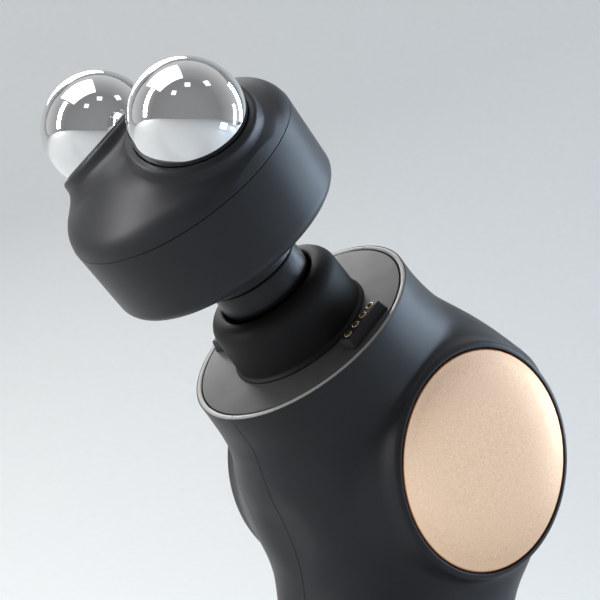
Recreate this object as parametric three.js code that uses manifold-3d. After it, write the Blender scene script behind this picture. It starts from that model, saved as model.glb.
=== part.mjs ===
// Hand-held percussive facial massager with a two-ball roller head.
// Millimetres, +Z up along the grip. The origin is the centre of the flat base.
// The gold contact disc faces -Y and the control panel +Y. The head leans to -X.
import * as THREE from 'three';
import { mergeVertices } from 'three/addons/utils/BufferGeometryUtils.js';
import Module from 'manifold-3d';

const wasm = await Module();
wasm.setup();

// Clearances
const seatGap = 0.3;
const runningGap = 0.35;
const pressTravel = 0.5;
const switchGap = 0.1;

// How far a post or rib runs into the wall that carries it
const weld = 0.5;

// Body: grip, elbow and neck
const elbowHeight = 78;
const elbowRadius = 35.4;
const elbowHalfDepth = 24.5;
const neckReach = 36.4;
const headLean = THREE.MathUtils.degToRad(45);
const rimRadius = 24.75;
const baseHalfWidth = 17.5;
const baseHalfDepth = 16.5;
const footRadius = 4;
const gripHalfWidth = 20;
const gripHalfDepth = 18.8;
const wall = 2;

// Round faces on the elbow
const faceHeight = 27;
const faceProud = 0.5;
const bossHeight = faceHeight - faceProud;
const bossRadius = 22.5;
const bossEdge = 1.2;
const bossFlare = 6.5;
const bossFlareDepth = 11.5;
const discRadius = 22;
const discThickness = 1.4;
const discCrown = 0.35;
const discEdge = 0.25;
const panelThickness = 1.7;
const pocketDepth = 1.7;
const pocketLedge = 1.8;
const floorThickness = 2;
const wireHoleRadius = 2;
const wireHoleOffset = 15;

// Control panel: buttons, level lights and the switches below
const powerRadius = 5;
const sideButtonRadius = 3.6;
const buttonPitch = 11;
const buttonProud = 0.2;
const buttonEdge = 0.3;
const buttonDish = 0.15;
const stemRadius = 2.4;
const flangeReach = 1.2;
const flangeThickness = 0.8;
const lightRadius = 0.8;
const lightRing = 17.6;
const lightAngles = [75, 90, 105];
const guideSpread = THREE.MathUtils.degToRad(22);
const guideThickness = 0.8;
const domeRadius = 2;
const domeHeight = 0.8;
const switchBoardRadius = 17;

// Case screws, beside the motor, and their posts
const screwPlaces = [[15.5, 6], [-14.5, -7]];
const screwRadius = 0.9;
const screwHeadRadius = 1.9;
const screwHeadHeight = 1.2;
const screwHeadSink = 0.2;
const screwBite = 7;
const postRadius = 2.6;

// Top plate and the connector on it
const plateThickness = 2.4;
const rimWidth = 1.15;
const ledgeWidth = 2;
const throatDepth = 14;
const keyOffset = 19.9;
const keyLength = 11.8;
const keyWidth = 3.9;
const keyHeight = 2.45;
const keyDraft = 0.8;
const keyPocket = 1.2;
const pinCount = 4;
const pinPitch = 2.6;
const pinRadius = 0.5;
const pinStroke = 0.7;
const pinLength = 7;
const pinProud = 0.35;
const pegRadius = 1;
const pegSpread = 4.6;
const pegInset = 2.6;
const connectorThickness = 1.2;

// Shaft and its boss
const bossFoot = 14.5;
const bossDraft = 0.3;
const bossToe = 0.6;
const bossToeHeight = 0.9;
const bossWall = 2.8;
const bossBore = 10.25;
const bossTop = 12;
const bossShoulder = 3.5;
const bossFloor = 2.5;
const collarRadius = 9.85;
const collarBottom = 10.9;
const collarTop = 17.6;
const collarFillet = 2.3;
const collarEdge = 0.3;
const rodRadius = 2.5;
const spigotRadius = 6;
const spigotLength = 9.4;
const spigotChamfer = 0.8;
const grooveDrop = 4.5;
const grooveDepth = 0.9;
const grooveWidth = 1.6;
const snapRingProud = 0.05;
const bushingRadius = 5.2;
const bushingLength = 11;
const bushingFlange = 1.4;
const bushingFlangeHeight = 0.8;
const sealThickness = 0.8;
const sealLipWidth = 1;
const sealLipHeight = 1.2;

// Drive
const crankThrow = 3;
const crankPinRadius = 1.4;
const crankRadius = 7;
const crankThickness = 1.6;
const crankRelief = 1.7;
const crankReliefOffset = 4;
const yokeHalfThickness = 1.8;
const yokeSide = 3;
const yokeEnd = 2.6;
const yokeStemHalfWidth = 3.6;
const yokeSocketWall = 1.6;
const yokeSocketDepth = 5;
const motorRadius = 12;
const motorLength = 13;
const motorEdge = 0.8;
const motorPlate = 1.6;
const motorPlateRadius = 20.4;
const motorShaftRadius = 1;
const motorShaftDepth = 8;
const bearingRadius = 3.5;

// Roller head
const headBottom = 25.1;
const headSeam = 42;
const headRadius = 25.25;
const headWall = 2.3;
const headDraft = 0.6;
const headFillet = 2.6;
const ballRadius = 11.37;
const ballSpread = 14.06;
const ballHeight = 54.8;
const ballSink = 1.9;
const ballLean = THREE.MathUtils.degToRad(22);
const seatDepth = 12.1;
const seatFlare = 4.4;
const seatEdge = 0.8;
const roofHeight = 55.6;
const ridgeHalf = 4;
const crownDrop = 0.4;
const crownBow = 0.0165;
const capWall = 43;
const capShoulder = 6.6;
const capLip = 1.3;
const ringFoot = 10.15;
const ringRadius = 10.6;
const ringTop = 21.5;
const neckRadius = 9.9;
const neckFlare = 14;
const hubRadius = 9;
const hubRoof = 2;
const carrierLow = 36.5;
const carrierHigh = 38.5;
const carrierLedge = 1.5;
const axleRadius = 1.5;
const axleLow = -17.2;
const axleHigh = 4;
const axleBossRadius = 3.2;
const axleBossHeight = 3.4;

// Inside the grip
const batteryRadius = 9.2;
const cellBottom = 7.8;
const cellEdge = 0.6;
const cellButtonRadius = 3;
const cellButtonHeight = 1.2;
const shelfHeight = elbowHeight - motorPlateRadius - seatGap;
const shelfThickness = 1.8;
const shelfHalfDepth = 9;
const spineThickness = 2;
const spineHalfDepth = 8;
const boardThickness = 1.6;
const boardHalfWidth = 8.6;
const boardGap = 0.8;

// Base
const baseScrewY = 7;
const baseScrewSink = 0.2;
const baseScrewHeadHeight = 0.7;
const baseScrewLength = 6;
const capThickness = 2.4;
const padX = 6.5;
const padRadius = 2.6;
const padSink = 0.2;
const padThickness = 0.8;

// Round counts of the faceted solids
const fine = 28;
const medium = 20;
const slim = 14;
const coarse = 10;
const tiny = 8;
const bodyRows = 20;
const bodySides = 28;
const cavityRows = 7;
const cavitySides = 12;

// A length that reaches past the whole part, for cutting tools
const beyond = 3 * elbowHeight;

// Geometry to solid and back

function solid(geometry) {
  const bare = geometry.index ? geometry.toNonIndexed() : geometry.clone();
  bare.deleteAttribute('normal');
  bare.deleteAttribute('uv');
  const merged = mergeVertices(bare, 1e-4);
  const points = merged.attributes.position.array;
  const corners = Array.from(merged.index.array);
  const kept = [];
  let volume = 0;
  const a = new THREE.Vector3();
  const b = new THREE.Vector3();
  const c = new THREE.Vector3();
  for (let i = 0; i < corners.length; i += 3) {
    const [p, q, r] = corners.slice(i, i + 3);
    if (p === q || q === r || r === p) continue;
    kept.push(p, q, r);
    a.fromArray(points, 3 * p);
    b.fromArray(points, 3 * q);
    c.fromArray(points, 3 * r);
    volume += a.dot(b.cross(c));
  }
  if (volume < 0) kept.reverse();
  const mesh = new wasm.Mesh({
    numProp: 3,
    vertProperties: new Float32Array(points),
    triVerts: new Uint32Array(kept),
  });
  return new wasm.Manifold(mesh);
}

function joined(...pieces) {
  return pieces.reduce((whole, piece) => whole.add(piece));
}

function cut(whole, ...tools) {
  return tools.reduce((left, tool) => left.subtract(tool), whole);
}

function finish(name, piece, colour, roughness, metalness) {
  const result = piece.getMesh();
  const geometry = new THREE.BufferGeometry();
  const points = new THREE.BufferAttribute(result.vertProperties, 3);
  geometry.setAttribute('position', points);
  geometry.setIndex(new THREE.BufferAttribute(result.triVerts, 1));
  geometry.computeVertexNormals();
  const material = new THREE.MeshStandardMaterial({ color: colour, roughness, metalness });
  const mesh = new THREE.Mesh(geometry, material);
  mesh.name = name;
  return mesh;
}

// Basic forms

function revolved(profile, sides = medium) {
  const points = profile.map(([radius, height]) => new THREE.Vector2(radius, height));
  return new THREE.LatheGeometry(points, sides);
}

// A revolve about Z from a closed outline of [radius, height] points.
function turnedZ(profile, sides) {
  return revolved(profile, sides).rotateX(Math.PI / 2);
}

// A cylinder or ring from low to high, along Z or along Y.
function tubeProfile(outer, inner, low, high) {
  if (inner === 0) return [[0, low], [outer, low], [outer, high], [0, high]];
  return [[inner, low], [outer, low], [outer, high], [inner, high], [inner, low]];
}

function rodZ(outer, low, high, sides = coarse, inner = 0) {
  return turnedZ(tubeProfile(outer, inner, low, high), sides);
}

function rodY(outer, low, high, sides = coarse, inner = 0) {
  return revolved(tubeProfile(outer, inner, low, high), sides);
}

function block(x0, x1, y0, y1, z0, z1) {
  const box = new THREE.BoxGeometry(x1 - x0, y1 - y0, z1 - z0);
  return box.translate((x0 + x1) / 2, (y0 + y1) / 2, (z0 + z1) / 2);
}

// Points of an arc, from one angle to another, in degrees.
function arc(centreX, centreY, radius, from, to, steps = 6) {
  return Array.from({ length: steps + 1 }, (_, i) => {
    const angle = THREE.MathUtils.degToRad(from + ((to - from) * i) / steps);
    return [centreX + radius * Math.cos(angle), centreY + radius * Math.sin(angle)];
  });
}

// A closed skin over equal rings of points, with a flat fan on each end.
function skin(rings) {
  const sides = rings[0].length;
  const points = rings.flat();
  const faces = [];
  for (let i = 0; i + 1 < rings.length; i += 1) {
    for (let j = 0; j < sides; j += 1) {
      const next = (j + 1) % sides;
      const a = i * sides + j;
      const b = i * sides + next;
      faces.push(a, b, b + sides, a, b + sides, a + sides);
    }
  }
  const last = (rings.length - 1) * sides;
  for (let j = 1; j + 1 < sides; j += 1) {
    faces.push(0, j + 1, j);
    faces.push(last, last + j, last + j + 1);
  }
  const geometry = new THREE.BufferGeometry().setFromPoints(points);
  geometry.setIndex(faces);
  return geometry;
}

// The head frame: its origin is the top plate's centre, its +Z the shaft's axis.
const headPlace = new THREE.Object3D();
headPlace.position.set(
  -neckReach * Math.sin(headLean),
  0,
  elbowHeight + neckReach * Math.cos(headLean),
);
headPlace.rotation.y = -headLean;
headPlace.updateMatrix();

function inHead(geometry) {
  return geometry.applyMatrix4(headPlace.matrix);
}

function atElbow(geometry, x = 0, z = 0) {
  return geometry.translate(x, 0, elbowHeight + z);
}

// Body outline: where each cross-section starts on the inner side of the bend,
// where it ends on the outer side, its half depth, how square it is, and how
// much deeper its inner end is than its outer end, as on an egg.

function headPoint(x, z) {
  const point = new THREE.Vector3(x, 0, z);
  return point.applyMatrix4(headPlace.matrix);
}

function gripSection(height, halfWidth, halfDepth, square) {
  return {
    inner: new THREE.Vector3(-halfWidth, 0, height),
    outer: new THREE.Vector3(halfWidth, 0, height),
    halfDepth,
    square,
    egg: 0,
  };
}

function elbowSection(innerX, innerZ, outerAngle, outerReach, halfDepth, egg = 0) {
  const angle = THREE.MathUtils.degToRad(outerAngle);
  const radius = elbowRadius + outerReach;
  return {
    inner: new THREE.Vector3(innerX, 0, elbowHeight + innerZ),
    outer: new THREE.Vector3(
      radius * Math.cos(angle),
      0,
      elbowHeight + radius * Math.sin(angle),
    ),
    halfDepth,
    square: 2.3,
    egg,
  };
}

function neckSection(innerFlare, innerDrop, outerFlare, outerDrop, halfDepth, egg) {
  return {
    inner: headPoint(-rimRadius - innerFlare, -innerDrop),
    outer: headPoint(rimRadius + outerFlare, -outerDrop),
    halfDepth,
    square: 2,
    egg,
  };
}

const sections = [
  gripSection(0, baseHalfWidth, baseHalfDepth, 2.3),
  gripSection(footRadius / 3, baseHalfWidth + 1, baseHalfDepth + 0.9, 2.3),
  gripSection(footRadius, gripHalfWidth - 0.9, gripHalfDepth - 0.8, 2.3),
  gripSection(elbowHeight * 0.21, gripHalfWidth, gripHalfDepth, 2.3),
  gripSection(elbowHeight * 0.38, gripHalfWidth + 1.3, gripHalfDepth + 1.1, 2.3),
  elbowSection(-23.9, -32, -49, 2.6, elbowHalfDepth - 3),
  elbowSection(-24.7, -25, -33, -0.6, elbowHalfDepth - 1.2),
  elbowSection(-26.4, -19, -10, -0.8, elbowHalfDepth + 0.2),
  elbowSection(-29.8, -12.3, 13, 0, elbowHalfDepth + 0.7, 0.03),
  elbowSection(-33.1, -7.25, 35, 1.6, elbowHalfDepth + 0.85, 0.03),
  neckSection(1.5, 12, 5.5, 24, rimRadius + 0.65, 0.03),
  neckSection(0.25, 8.5, 2.15, 14, rimRadius + 0.2, 0.06),
  neckSection(0, 4.5, 0.6, 6.5, rimRadius, 0.04),
  neckSection(0, 0, 0, 0, rimRadius, 0),
];

// Cross-sections between two positions along the body, drawn in by an inset.
function bodyRings(from, to, count, sides, inset) {
  const inner = new THREE.CatmullRomCurve3(sections.map((s) => s.inner));
  const outer = new THREE.CatmullRomCurve3(sections.map((s) => s.outer));
  inner.curveType = 'catmullrom';
  outer.curveType = 'catmullrom';
  const traits = new THREE.CatmullRomCurve3(
    sections.map((s) => new THREE.Vector3(s.halfDepth, s.square, s.egg)),
  );
  traits.curveType = 'catmullrom';
  const across = new THREE.Vector3(0, 1, 0);
  return Array.from({ length: count + 1 }, (_, i) => {
    const place = (from + ((to - from) * i) / count) / (sections.length - 1);
    const start = inner.getPoint(place);
    const end = outer.getPoint(place);
    const { x: halfDepth, y: square, z: egg } = traits.getPoint(place);
    const centre = start.clone().add(end).divideScalar(2);
    const reach = end.clone().sub(start).divideScalar(2);
    reach.setLength(reach.length() - inset);
    return Array.from({ length: sides }, (__, j) => {
      const angle = (2 * Math.PI * j) / sides;
      const [c, s] = [Math.cos(angle), Math.sin(angle)];
      const u = Math.sign(c) * Math.abs(c) ** (2 / square);
      const v = Math.sign(s) * Math.abs(s) ** (2 / square);
      return centre.clone()
        .addScaledVector(reach, u)
        .addScaledVector(across, v * (halfDepth * (1 - egg * u) - inset));
    });
  });
}

// The round raised face on one side of the elbow, flaring into the body.
function elbowBoss(side) {
  const flare = (share) => [
    bossRadius + bossFlare * share,
    bossHeight - bossFlareDepth * share,
  ];
  const profile = [
    [0, 0],
    [bossRadius + bossFlare, 0],
    flare(1),
    flare(0.61),
    flare(0.31),
    ...arc(bossRadius, bossHeight - bossEdge, bossEdge, 10, 90, 3),
    [0, bossHeight],
  ];
  const geometry = atElbow(revolved(profile, fine));
  return solid(side > 0 ? geometry : geometry.scale(1, -1, 1));
}

const recessFloor = faceHeight - discThickness - seatGap;
const panelLedge = faceHeight - panelThickness - seatGap;
const panelFloor = panelLedge - pocketDepth + seatGap;
const backWall = panelFloor - floorThickness;
const frontWall = recessFloor - floorThickness;
const pocketRadius = discRadius - pocketLedge;
const screwHeadLow = panelFloor - screwHeadHeight - screwHeadSink;

function hollowBody() {
  const outside = joined(
    solid(skin(bodyRings(0, sections.length - 1, bodyRows, bodySides, 0))),
    elbowBoss(1),
    elbowBoss(-1),
  );
  const slab = solid(block(-beyond, beyond, -frontWall, backWall, -beyond, beyond));
  const well = solid(atElbow(rodY(pocketRadius, -frontWall, backWall, medium)));
  const hull = solid(skin(bodyRings(0, sections.length - 2, cavityRows, cavitySides, wall)));
  const inside = hull.intersect(slab).add(well);
  const mouth = solid(
    inHead(rodZ(rimRadius - rimWidth, -plateThickness - seatGap, beyond, fine)),
  );
  const throat = solid(
    inHead(rodZ(rimRadius - rimWidth - ledgeWidth, -throatDepth, 0, medium)),
  );
  const foot = solid(skin(bodyRings(0, 1, 1, cavitySides, wall)).translate(0, 0, -weld));
  return cut(outside, inside, mouth, throat.intersect(slab), foot);
}

function half(whole, side) {
  const box = side > 0
    ? block(-beyond, beyond, 0, beyond, -beyond, beyond)
    : block(-beyond, beyond, -beyond, 0, -beyond, beyond);
  return whole.intersect(solid(box));
}

const hollow = hollowBody();

function frontShell() {
  const posts = screwPlaces.map(([x, z]) => solid(
    atElbow(rodY(postRadius, -frontWall - weld, 0), x, z),
  ));
  const holes = screwPlaces.map(([x, z]) => solid(
    atElbow(rodY(screwRadius + seatGap, -screwBite - postRadius, weld), x, z),
  ));
  const recess = solid(atElbow(rodY(discRadius + seatGap, -beyond, -recessFloor, fine)));
  const wireHole = solid(atElbow(rodY(wireHoleRadius, -beyond, 0), 0, wireHoleOffset));
  const shell = cut(half(hollow, -1), recess, wireHole);
  return cut(joined(shell, ...posts), ...holes);
}

// Buttons on the control panel: place, cap radius.
const buttons = [
  ['power_button', 0, powerRadius],
  ['intensity_button', buttonPitch, sideButtonRadius],
  ['mode_button', -buttonPitch, sideButtonRadius],
];

function backShell() {
  const posts = screwPlaces.map(([x, z]) => solid(
    atElbow(rodY(postRadius, 0, backWall + weld), x, z),
  ));
  const holes = screwPlaces.flatMap(([x, z]) => [
    solid(atElbow(rodY(screwRadius + seatGap, -weld, beyond), x, z)),
    solid(atElbow(rodY(screwHeadRadius + seatGap, screwHeadLow - seatGap, beyond), x, z)),
  ]);
  const stems = buttons.map(([, z]) => solid(
    atElbow(rodY(stemRadius + runningGap, 0, beyond), 0, z),
  ));
  const recess = solid(atElbow(rodY(discRadius + seatGap, panelLedge, beyond, fine)));
  const pocket = solid(atElbow(rodY(pocketRadius, panelFloor, beyond, medium)));
  const shell = cut(half(hollow, 1), recess, pocket);
  return cut(joined(shell, ...posts), ...holes, ...stems);
}

function contactDisc() {
  const back = -recessFloor - seatGap;
  const face = back - discThickness;
  const profile = [
    [0, back],
    [discRadius, back],
    [discRadius, face + discCrown + discEdge],
    [discRadius - discEdge, face + discCrown],
    [discRadius * 0.6, face + discCrown * 0.36],
    [0, face],
  ];
  return solid(atElbow(revolved(profile, fine)));
}

// Control panel, its buttons, lights and switches

function controlPanel() {
  const low = panelLedge + seatGap;
  const plate = solid(atElbow(rodY(discRadius, low, low + panelThickness, fine)));
  const holes = buttons.map(([, z, radius]) => solid(
    atElbow(rodY(radius + runningGap, 0, beyond, slim), 0, z),
  ));
  const ports = lightPlaces().map(([x, z]) => solid(
    atElbow(rodY(lightRadius + seatGap, 0, beyond, coarse), x, z),
  ));
  return cut(plate, ...holes, ...ports);
}

function lightPlaces() {
  return lightAngles.map((angle) => {
    const turn = THREE.MathUtils.degToRad(angle);
    return [lightRing * Math.cos(turn), lightRing * Math.sin(turn)];
  });
}

// One light guide: a curved strip under the panel with a rod up to each port.
function levelLights() {
  const face = panelLedge + seatGap + panelThickness;
  const low = panelFloor + seatGap;
  const [from, to] = [Math.PI / 2 - guideSpread, Math.PI / 2 + guideSpread];
  const strip = new THREE.Shape();
  strip.absarc(0, 0, lightRing + lightRadius, from, to, false);
  strip.absarc(0, 0, lightRing - lightRadius, to, from, true);
  const guide = new THREE.ExtrudeGeometry(strip, {
    depth: guideThickness,
    bevelEnabled: false,
    curveSegments: tiny,
  }).rotateX(Math.PI / 2).translate(0, low + guideThickness, 0);
  const rods = lightPlaces().map(([x, z]) => solid(
    atElbow(rodY(lightRadius, low + guideThickness / 2, face), x, z),
  ));
  return joined(solid(atElbow(guide)), ...rods);
}

function button(z, radius) {
  const flangeTop = panelLedge;
  const flangeLow = flangeTop - flangeThickness;
  const face = panelLedge + seatGap + panelThickness + buttonProud;
  const stemEnd = switchTop + pressTravel + switchGap;
  const profile = [
    [0, stemEnd],
    [stemRadius, stemEnd],
    [stemRadius, flangeLow],
    [radius + flangeReach, flangeLow],
    [radius + flangeReach, flangeTop],
    [radius, flangeTop],
    [radius, face - buttonEdge],
    [radius - buttonEdge, face],
    [0, face - buttonDish],
  ];
  return solid(atElbow(revolved(profile, slim), 0, z));
}

const boardFace = backWall - seatGap;
const switchTop = boardFace + domeHeight;

function switchBoard() {
  const board = solid(
    atElbow(rodY(switchBoardRadius, boardFace - boardThickness, boardFace, medium)),
  );
  const domes = buttons.map(([, z]) => solid(
    atElbow(rodY(domeRadius, boardFace - weld, switchTop), 0, z),
  ));
  const holes = screwPlaces.map(([x, z]) => solid(
    atElbow(rodY(postRadius + seatGap, 0, beyond), x, z),
  ));
  return cut(joined(board, ...domes), ...holes);
}

function caseScrew(x, z) {
  const profile = [
    [0, -screwBite],
    [screwRadius, -screwBite],
    [screwRadius, screwHeadLow],
    [screwHeadRadius, screwHeadLow],
    [screwHeadRadius, screwHeadLow + screwHeadHeight],
    [0, screwHeadLow + screwHeadHeight],
  ];
  return solid(atElbow(revolved(profile, coarse), x, z));
}

// Top plate, its two raised keys and the spring contacts

const plateRadius = rimRadius - rimWidth - seatGap;
const pinXs = Array.from({ length: pinCount }, (_, i) => (i - (pinCount - 1) / 2) * pinPitch);
const pegPlaces = [-pegSpread, pegSpread];

function keyBlock(grow, low, high, side) {
  const ring = (z, length, width) => [
    [-length / 2, -width / 2],
    [length / 2, -width / 2],
    [length / 2, width / 2],
    [-length / 2, width / 2],
  ].map(([x, y]) => new THREE.Vector3(x, y + side * keyOffset, z));
  const full = [keyLength + 2 * grow, keyWidth + 2 * grow];
  if (high <= 0) return solid(skin([ring(low, ...full), ring(high + weld, ...full)]));
  const top = [keyLength - 2 * keyDraft, keyWidth - keyDraft];
  return solid(skin([ring(low, ...full), ring(0, ...full), ring(high, ...top)]));
}

function topPlate() {
  const disc = solid(rodZ(plateRadius, -plateThickness, 0, fine));
  const pegs = pegPlaces.map((x) => solid(
    rodZ(pegRadius, -pinBoardTop + seatGap, -plateThickness + weld).translate(x, -pegOffset, 0),
  ));
  const centre = solid(rodZ(bossSpigot + seatGap, -beyond, beyond, medium));
  const pins = pinXs.map((x) => solid(
    rodZ(pinRadius + seatGap, -beyond, beyond, tiny).translate(x, -keyOffset, 0),
  ));
  const pockets = [-1, 1].map((side) => keyBlock(seatGap, -keyPocket, 0, side));
  return cut(joined(disc, ...pegs), centre, ...pins, ...pockets);
}

const bossSpigot = bushingRadius + bossWall;
const pinTop = keyHeight + pinProud;
const pinBoardTop = pinLength - pinTop + pinStroke + seatGap;
const pegOffset = keyOffset - pegInset;

function contactBlock() {
  const body = keyBlock(0, -keyPocket + seatGap, keyHeight, -1);
  const holes = pinXs.map((x) => solid(
    rodZ(pinRadius + seatGap, -beyond, beyond, tiny).translate(x, -keyOffset, 0),
  ));
  return cut(body, ...holes);
}

function contactPin(x) {
  const profile = [
    [0, pinTop - pinLength],
    [pinRadius, pinTop - pinLength],
    ...arc(0, pinTop - pinRadius, pinRadius, 0, 90, 3),
  ];
  profile[profile.length - 1][0] = 0;
  return solid(turnedZ(profile, tiny).translate(x, -keyOffset, 0));
}

function connectorBoard() {
  const halfLength = (pinPitch * pinCount) / 2 + seatGap;
  const from = -keyOffset - pinRadius;
  const to = -pegOffset + pegRadius + seatGap;
  const low = -pinBoardTop - connectorThickness;
  return solid(block(-halfLength, halfLength, from, to, low, -pinBoardTop));
}

// Shaft boss, bushing and seal

function shaftBoss() {
  const crestRadius = bossFoot - bossDraft - bossShoulder;
  const shoulderHeight = bossTop - bossShoulder;
  const profile = [
    [bossBore, bossFloor],
    [bushingRadius + seatGap, bossFloor],
    [bushingRadius + seatGap, -bushingLength + bossFloor],
    [bossSpigot, -bushingLength + bossFloor],
    [bossSpigot, seatGap],
    [bossFoot + bossToe, seatGap],
    [bossFoot + bossToe, seatGap + bossToeHeight * 0.4],
    [bossFoot, seatGap + bossToeHeight],
    ...arc(crestRadius, shoulderHeight, bossShoulder, 0, 90, 4),
    [bossBore + bossToe / 2, bossTop - bossToeHeight * 0.4],
    [bossBore, bossTop - bossToeHeight],
    [bossBore, bossFloor],
  ];
  return solid(turnedZ(profile, fine));
}

function shaftBushing() {
  const low = -bushingLength + bossFloor + seatGap;
  const bore = rodRadius + runningGap;
  const profile = [
    [bore, low],
    [bushingRadius, low],
    [bushingRadius, bossFloor + seatGap],
    [bushingRadius + bushingFlange, bossFloor + seatGap],
    [bushingRadius + bushingFlange, bossFloor + seatGap + bushingFlangeHeight],
    [bore, bossFloor + seatGap + bushingFlangeHeight],
    [bore, low],
  ];
  return solid(turnedZ(profile, slim));
}

function shaftSeal() {
  const low = bossFloor + 2 * seatGap + bushingFlangeHeight;
  const high = low + sealThickness;
  const bore = rodRadius + runningGap;
  const profile = [
    [bore, low],
    [bossBore - seatGap, low],
    [bossBore - seatGap, high],
    [bore + 2 * sealLipWidth, high],
    [bore + sealLipWidth, high + sealLipHeight],
    [bore, high + sealLipHeight],
    [bore, low],
  ];
  return solid(turnedZ(profile, slim));
}

// The moving shaft: rod, collar with its spigot, and the slotted yoke

const slotHalfHeight = crankPinRadius + runningGap + 0.22 * crankThrow;
const slotHalfLength = crankThrow + crankPinRadius + 2 * runningGap;
const yokeHalfHeight = slotHalfHeight + yokeEnd;
const yokeHalfLength = slotHalfLength + yokeSide;
const socketLow = -neckReach + crankRadius + crankThrow + runningGap;
const rodLow = socketLow + 1.5;
const spigotTop = collarTop + spigotLength;
const rodHigh = spigotTop - 2;
const grooveLow = spigotTop - grooveDrop;

function shaftRod() {
  return solid(rodZ(rodRadius, rodLow, rodHigh, medium));
}

function shaftCollar() {
  const bore = rodRadius + seatGap;
  const bulge = collarRadius - collarFillet;
  const profile = [
    [0, rodHigh + seatGap],
    [bore, rodHigh + seatGap],
    [bore, collarBottom],
    ...arc(bulge, collarBottom + collarFillet, collarFillet, -90, 0, 4),
    [collarRadius - 1.5 * collarEdge, collarTop - collarEdge],
    [collarRadius - 2.5 * collarEdge, collarTop],
    [spigotRadius, collarTop],
    [spigotRadius, grooveLow],
    [spigotRadius - grooveDepth, grooveLow],
    [spigotRadius - grooveDepth, grooveLow + grooveWidth],
    [spigotRadius, grooveLow + grooveWidth],
    [spigotRadius, spigotTop - spigotChamfer],
    [spigotRadius - spigotChamfer, spigotTop],
    [0, spigotTop],
  ];
  return solid(turnedZ(profile, medium));
}

function spigotRing() {
  const outer = spigotRadius + snapRingProud;
  const inner = spigotRadius - grooveDepth + seatGap;
  const profile = tubeProfile(
    outer,
    inner,
    grooveLow + seatGap,
    grooveLow + grooveWidth - seatGap,
  );
  return solid(turnedZ(profile, slim));
}

function shaftYoke() {
  const plate = solid(block(
    -yokeHalfLength, yokeHalfLength,
    -yokeHalfThickness, yokeHalfThickness,
    -neckReach - yokeHalfHeight, -neckReach + yokeHalfHeight,
  ));
  const stem = solid(block(
    -yokeStemHalfWidth, yokeStemHalfWidth,
    -yokeHalfThickness, yokeHalfThickness,
    -neckReach + slotHalfHeight + weld, socketLow + 2 * weld,
  ));
  const socketHigh = rodLow + yokeSocketDepth;
  const socket = solid(rodZ(rodRadius + yokeSocketWall, socketLow, socketHigh, medium));
  const bore = solid(rodZ(rodRadius + seatGap, rodLow - seatGap, beyond, medium));
  const slot = solid(block(
    -slotHalfLength, slotHalfLength,
    -beyond, beyond,
    -neckReach - slotHalfHeight, -neckReach + slotHalfHeight,
  ));
  return cut(joined(plate, stem, socket), bore, slot);
}

// Drive: motor, its shaft, and the crank whose pin runs in the yoke

const crankLow = yokeHalfThickness + 1.1;
const crankHigh = crankLow + crankThickness;
const shaftSeat = crankLow + seatGap + 0.1;
const plateLow = crankHigh + seatGap;
const plateHigh = plateLow + motorPlate;
const motorLow = plateHigh + seatGap;
const motorShaftEnd = motorLow + motorShaftDepth;

function crankDisc() {
  const disc = solid(rodY(crankRadius, crankLow, crankHigh, medium));
  const pinEnd = -yokeHalfThickness - seatGap;
  const pin = rodY(crankPinRadius, pinEnd, crankLow + weld, slim).translate(crankThrow, 0, 0);
  const bore = solid(rodY(motorShaftRadius + seatGap, shaftSeat, beyond, slim));
  const relief = rodY(crankRelief, 0, beyond, slim).translate(-crankReliefOffset, 0, 0);
  return cut(joined(disc, solid(pin)), bore, solid(relief));
}

function motorShaft() {
  return solid(atElbow(rodY(motorShaftRadius, shaftSeat + seatGap, motorShaftEnd, slim)));
}

function motorCan() {
  const high = motorLow + motorLength;
  const profile = [
    [motorShaftRadius + seatGap, plateLow + seatGap],
    [bearingRadius, plateLow + seatGap],
    [bearingRadius, motorLow],
    [motorRadius - motorEdge, motorLow],
    [motorRadius, motorLow + motorEdge],
    [motorRadius, high - motorEdge],
    [motorRadius - motorEdge, high],
    [0, high],
    [0, motorShaftEnd + seatGap],
    [motorShaftRadius + seatGap, motorShaftEnd + seatGap],
    [motorShaftRadius + seatGap, plateLow + seatGap],
  ];
  return solid(atElbow(revolved(profile, medium)));
}

// Inside the grip

const spineX = -batteryRadius - seatGap;
const boardX = batteryRadius + boardGap;
const shelfReach = boardX + boardThickness + 2 * weld;
const frameLow = capThickness + seatGap;

function innerFrame() {
  const motorFace = solid(atElbow(rodY(motorPlateRadius, plateLow, plateHigh, medium)));
  const spine = solid(block(
    spineX - spineThickness, spineX,
    -spineHalfDepth, spineHalfDepth,
    frameLow, shelfHeight + shelfThickness / 2,
  ));
  const shelf = (low, high) => solid(block(
    spineX - spineThickness / 2, shelfReach,
    -shelfHalfDepth, shelfHalfDepth,
    low, high,
  ));
  const lowShelf = shelf(frameLow, cellBottom - seatGap);
  const highShelf = shelf(shelfHeight, shelfHeight + shelfThickness);
  const holes = [
    solid(atElbow(rodY(bearingRadius + seatGap, 0, beyond))),
    ...screwPlaces.map(([x, z]) => solid(
      atElbow(rodY(postRadius + seatGap, 0, beyond), x, z),
    )),
    ...[-baseScrewY, baseScrewY].map((y) => solid(
      rodZ(screwRadius + seatGap, -beyond, baseScrewLength + 2 * weld).translate(0, y, 0),
    )),
  ];
  return cut(joined(motorFace, spine, lowShelf, highShelf), ...holes);
}

function battery() {
  const high = shelfHeight - seatGap;
  const profile = [
    [0, cellBottom],
    [batteryRadius - cellEdge, cellBottom],
    [batteryRadius, cellBottom + cellEdge],
    [batteryRadius, high - cellButtonHeight - cellEdge],
    [batteryRadius - cellEdge, high - cellButtonHeight],
    [cellButtonRadius, high - cellButtonHeight],
    [cellButtonRadius, high],
    [0, high],
  ];
  return solid(turnedZ(profile, medium));
}

// The board carries a processor and, lower down, the battery's socket.
const chipSide = 7;
const chipHeight = 1;
const socketLength = 10;
const socketWidth = 5;
const socketHeight = 1.8;

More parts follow.
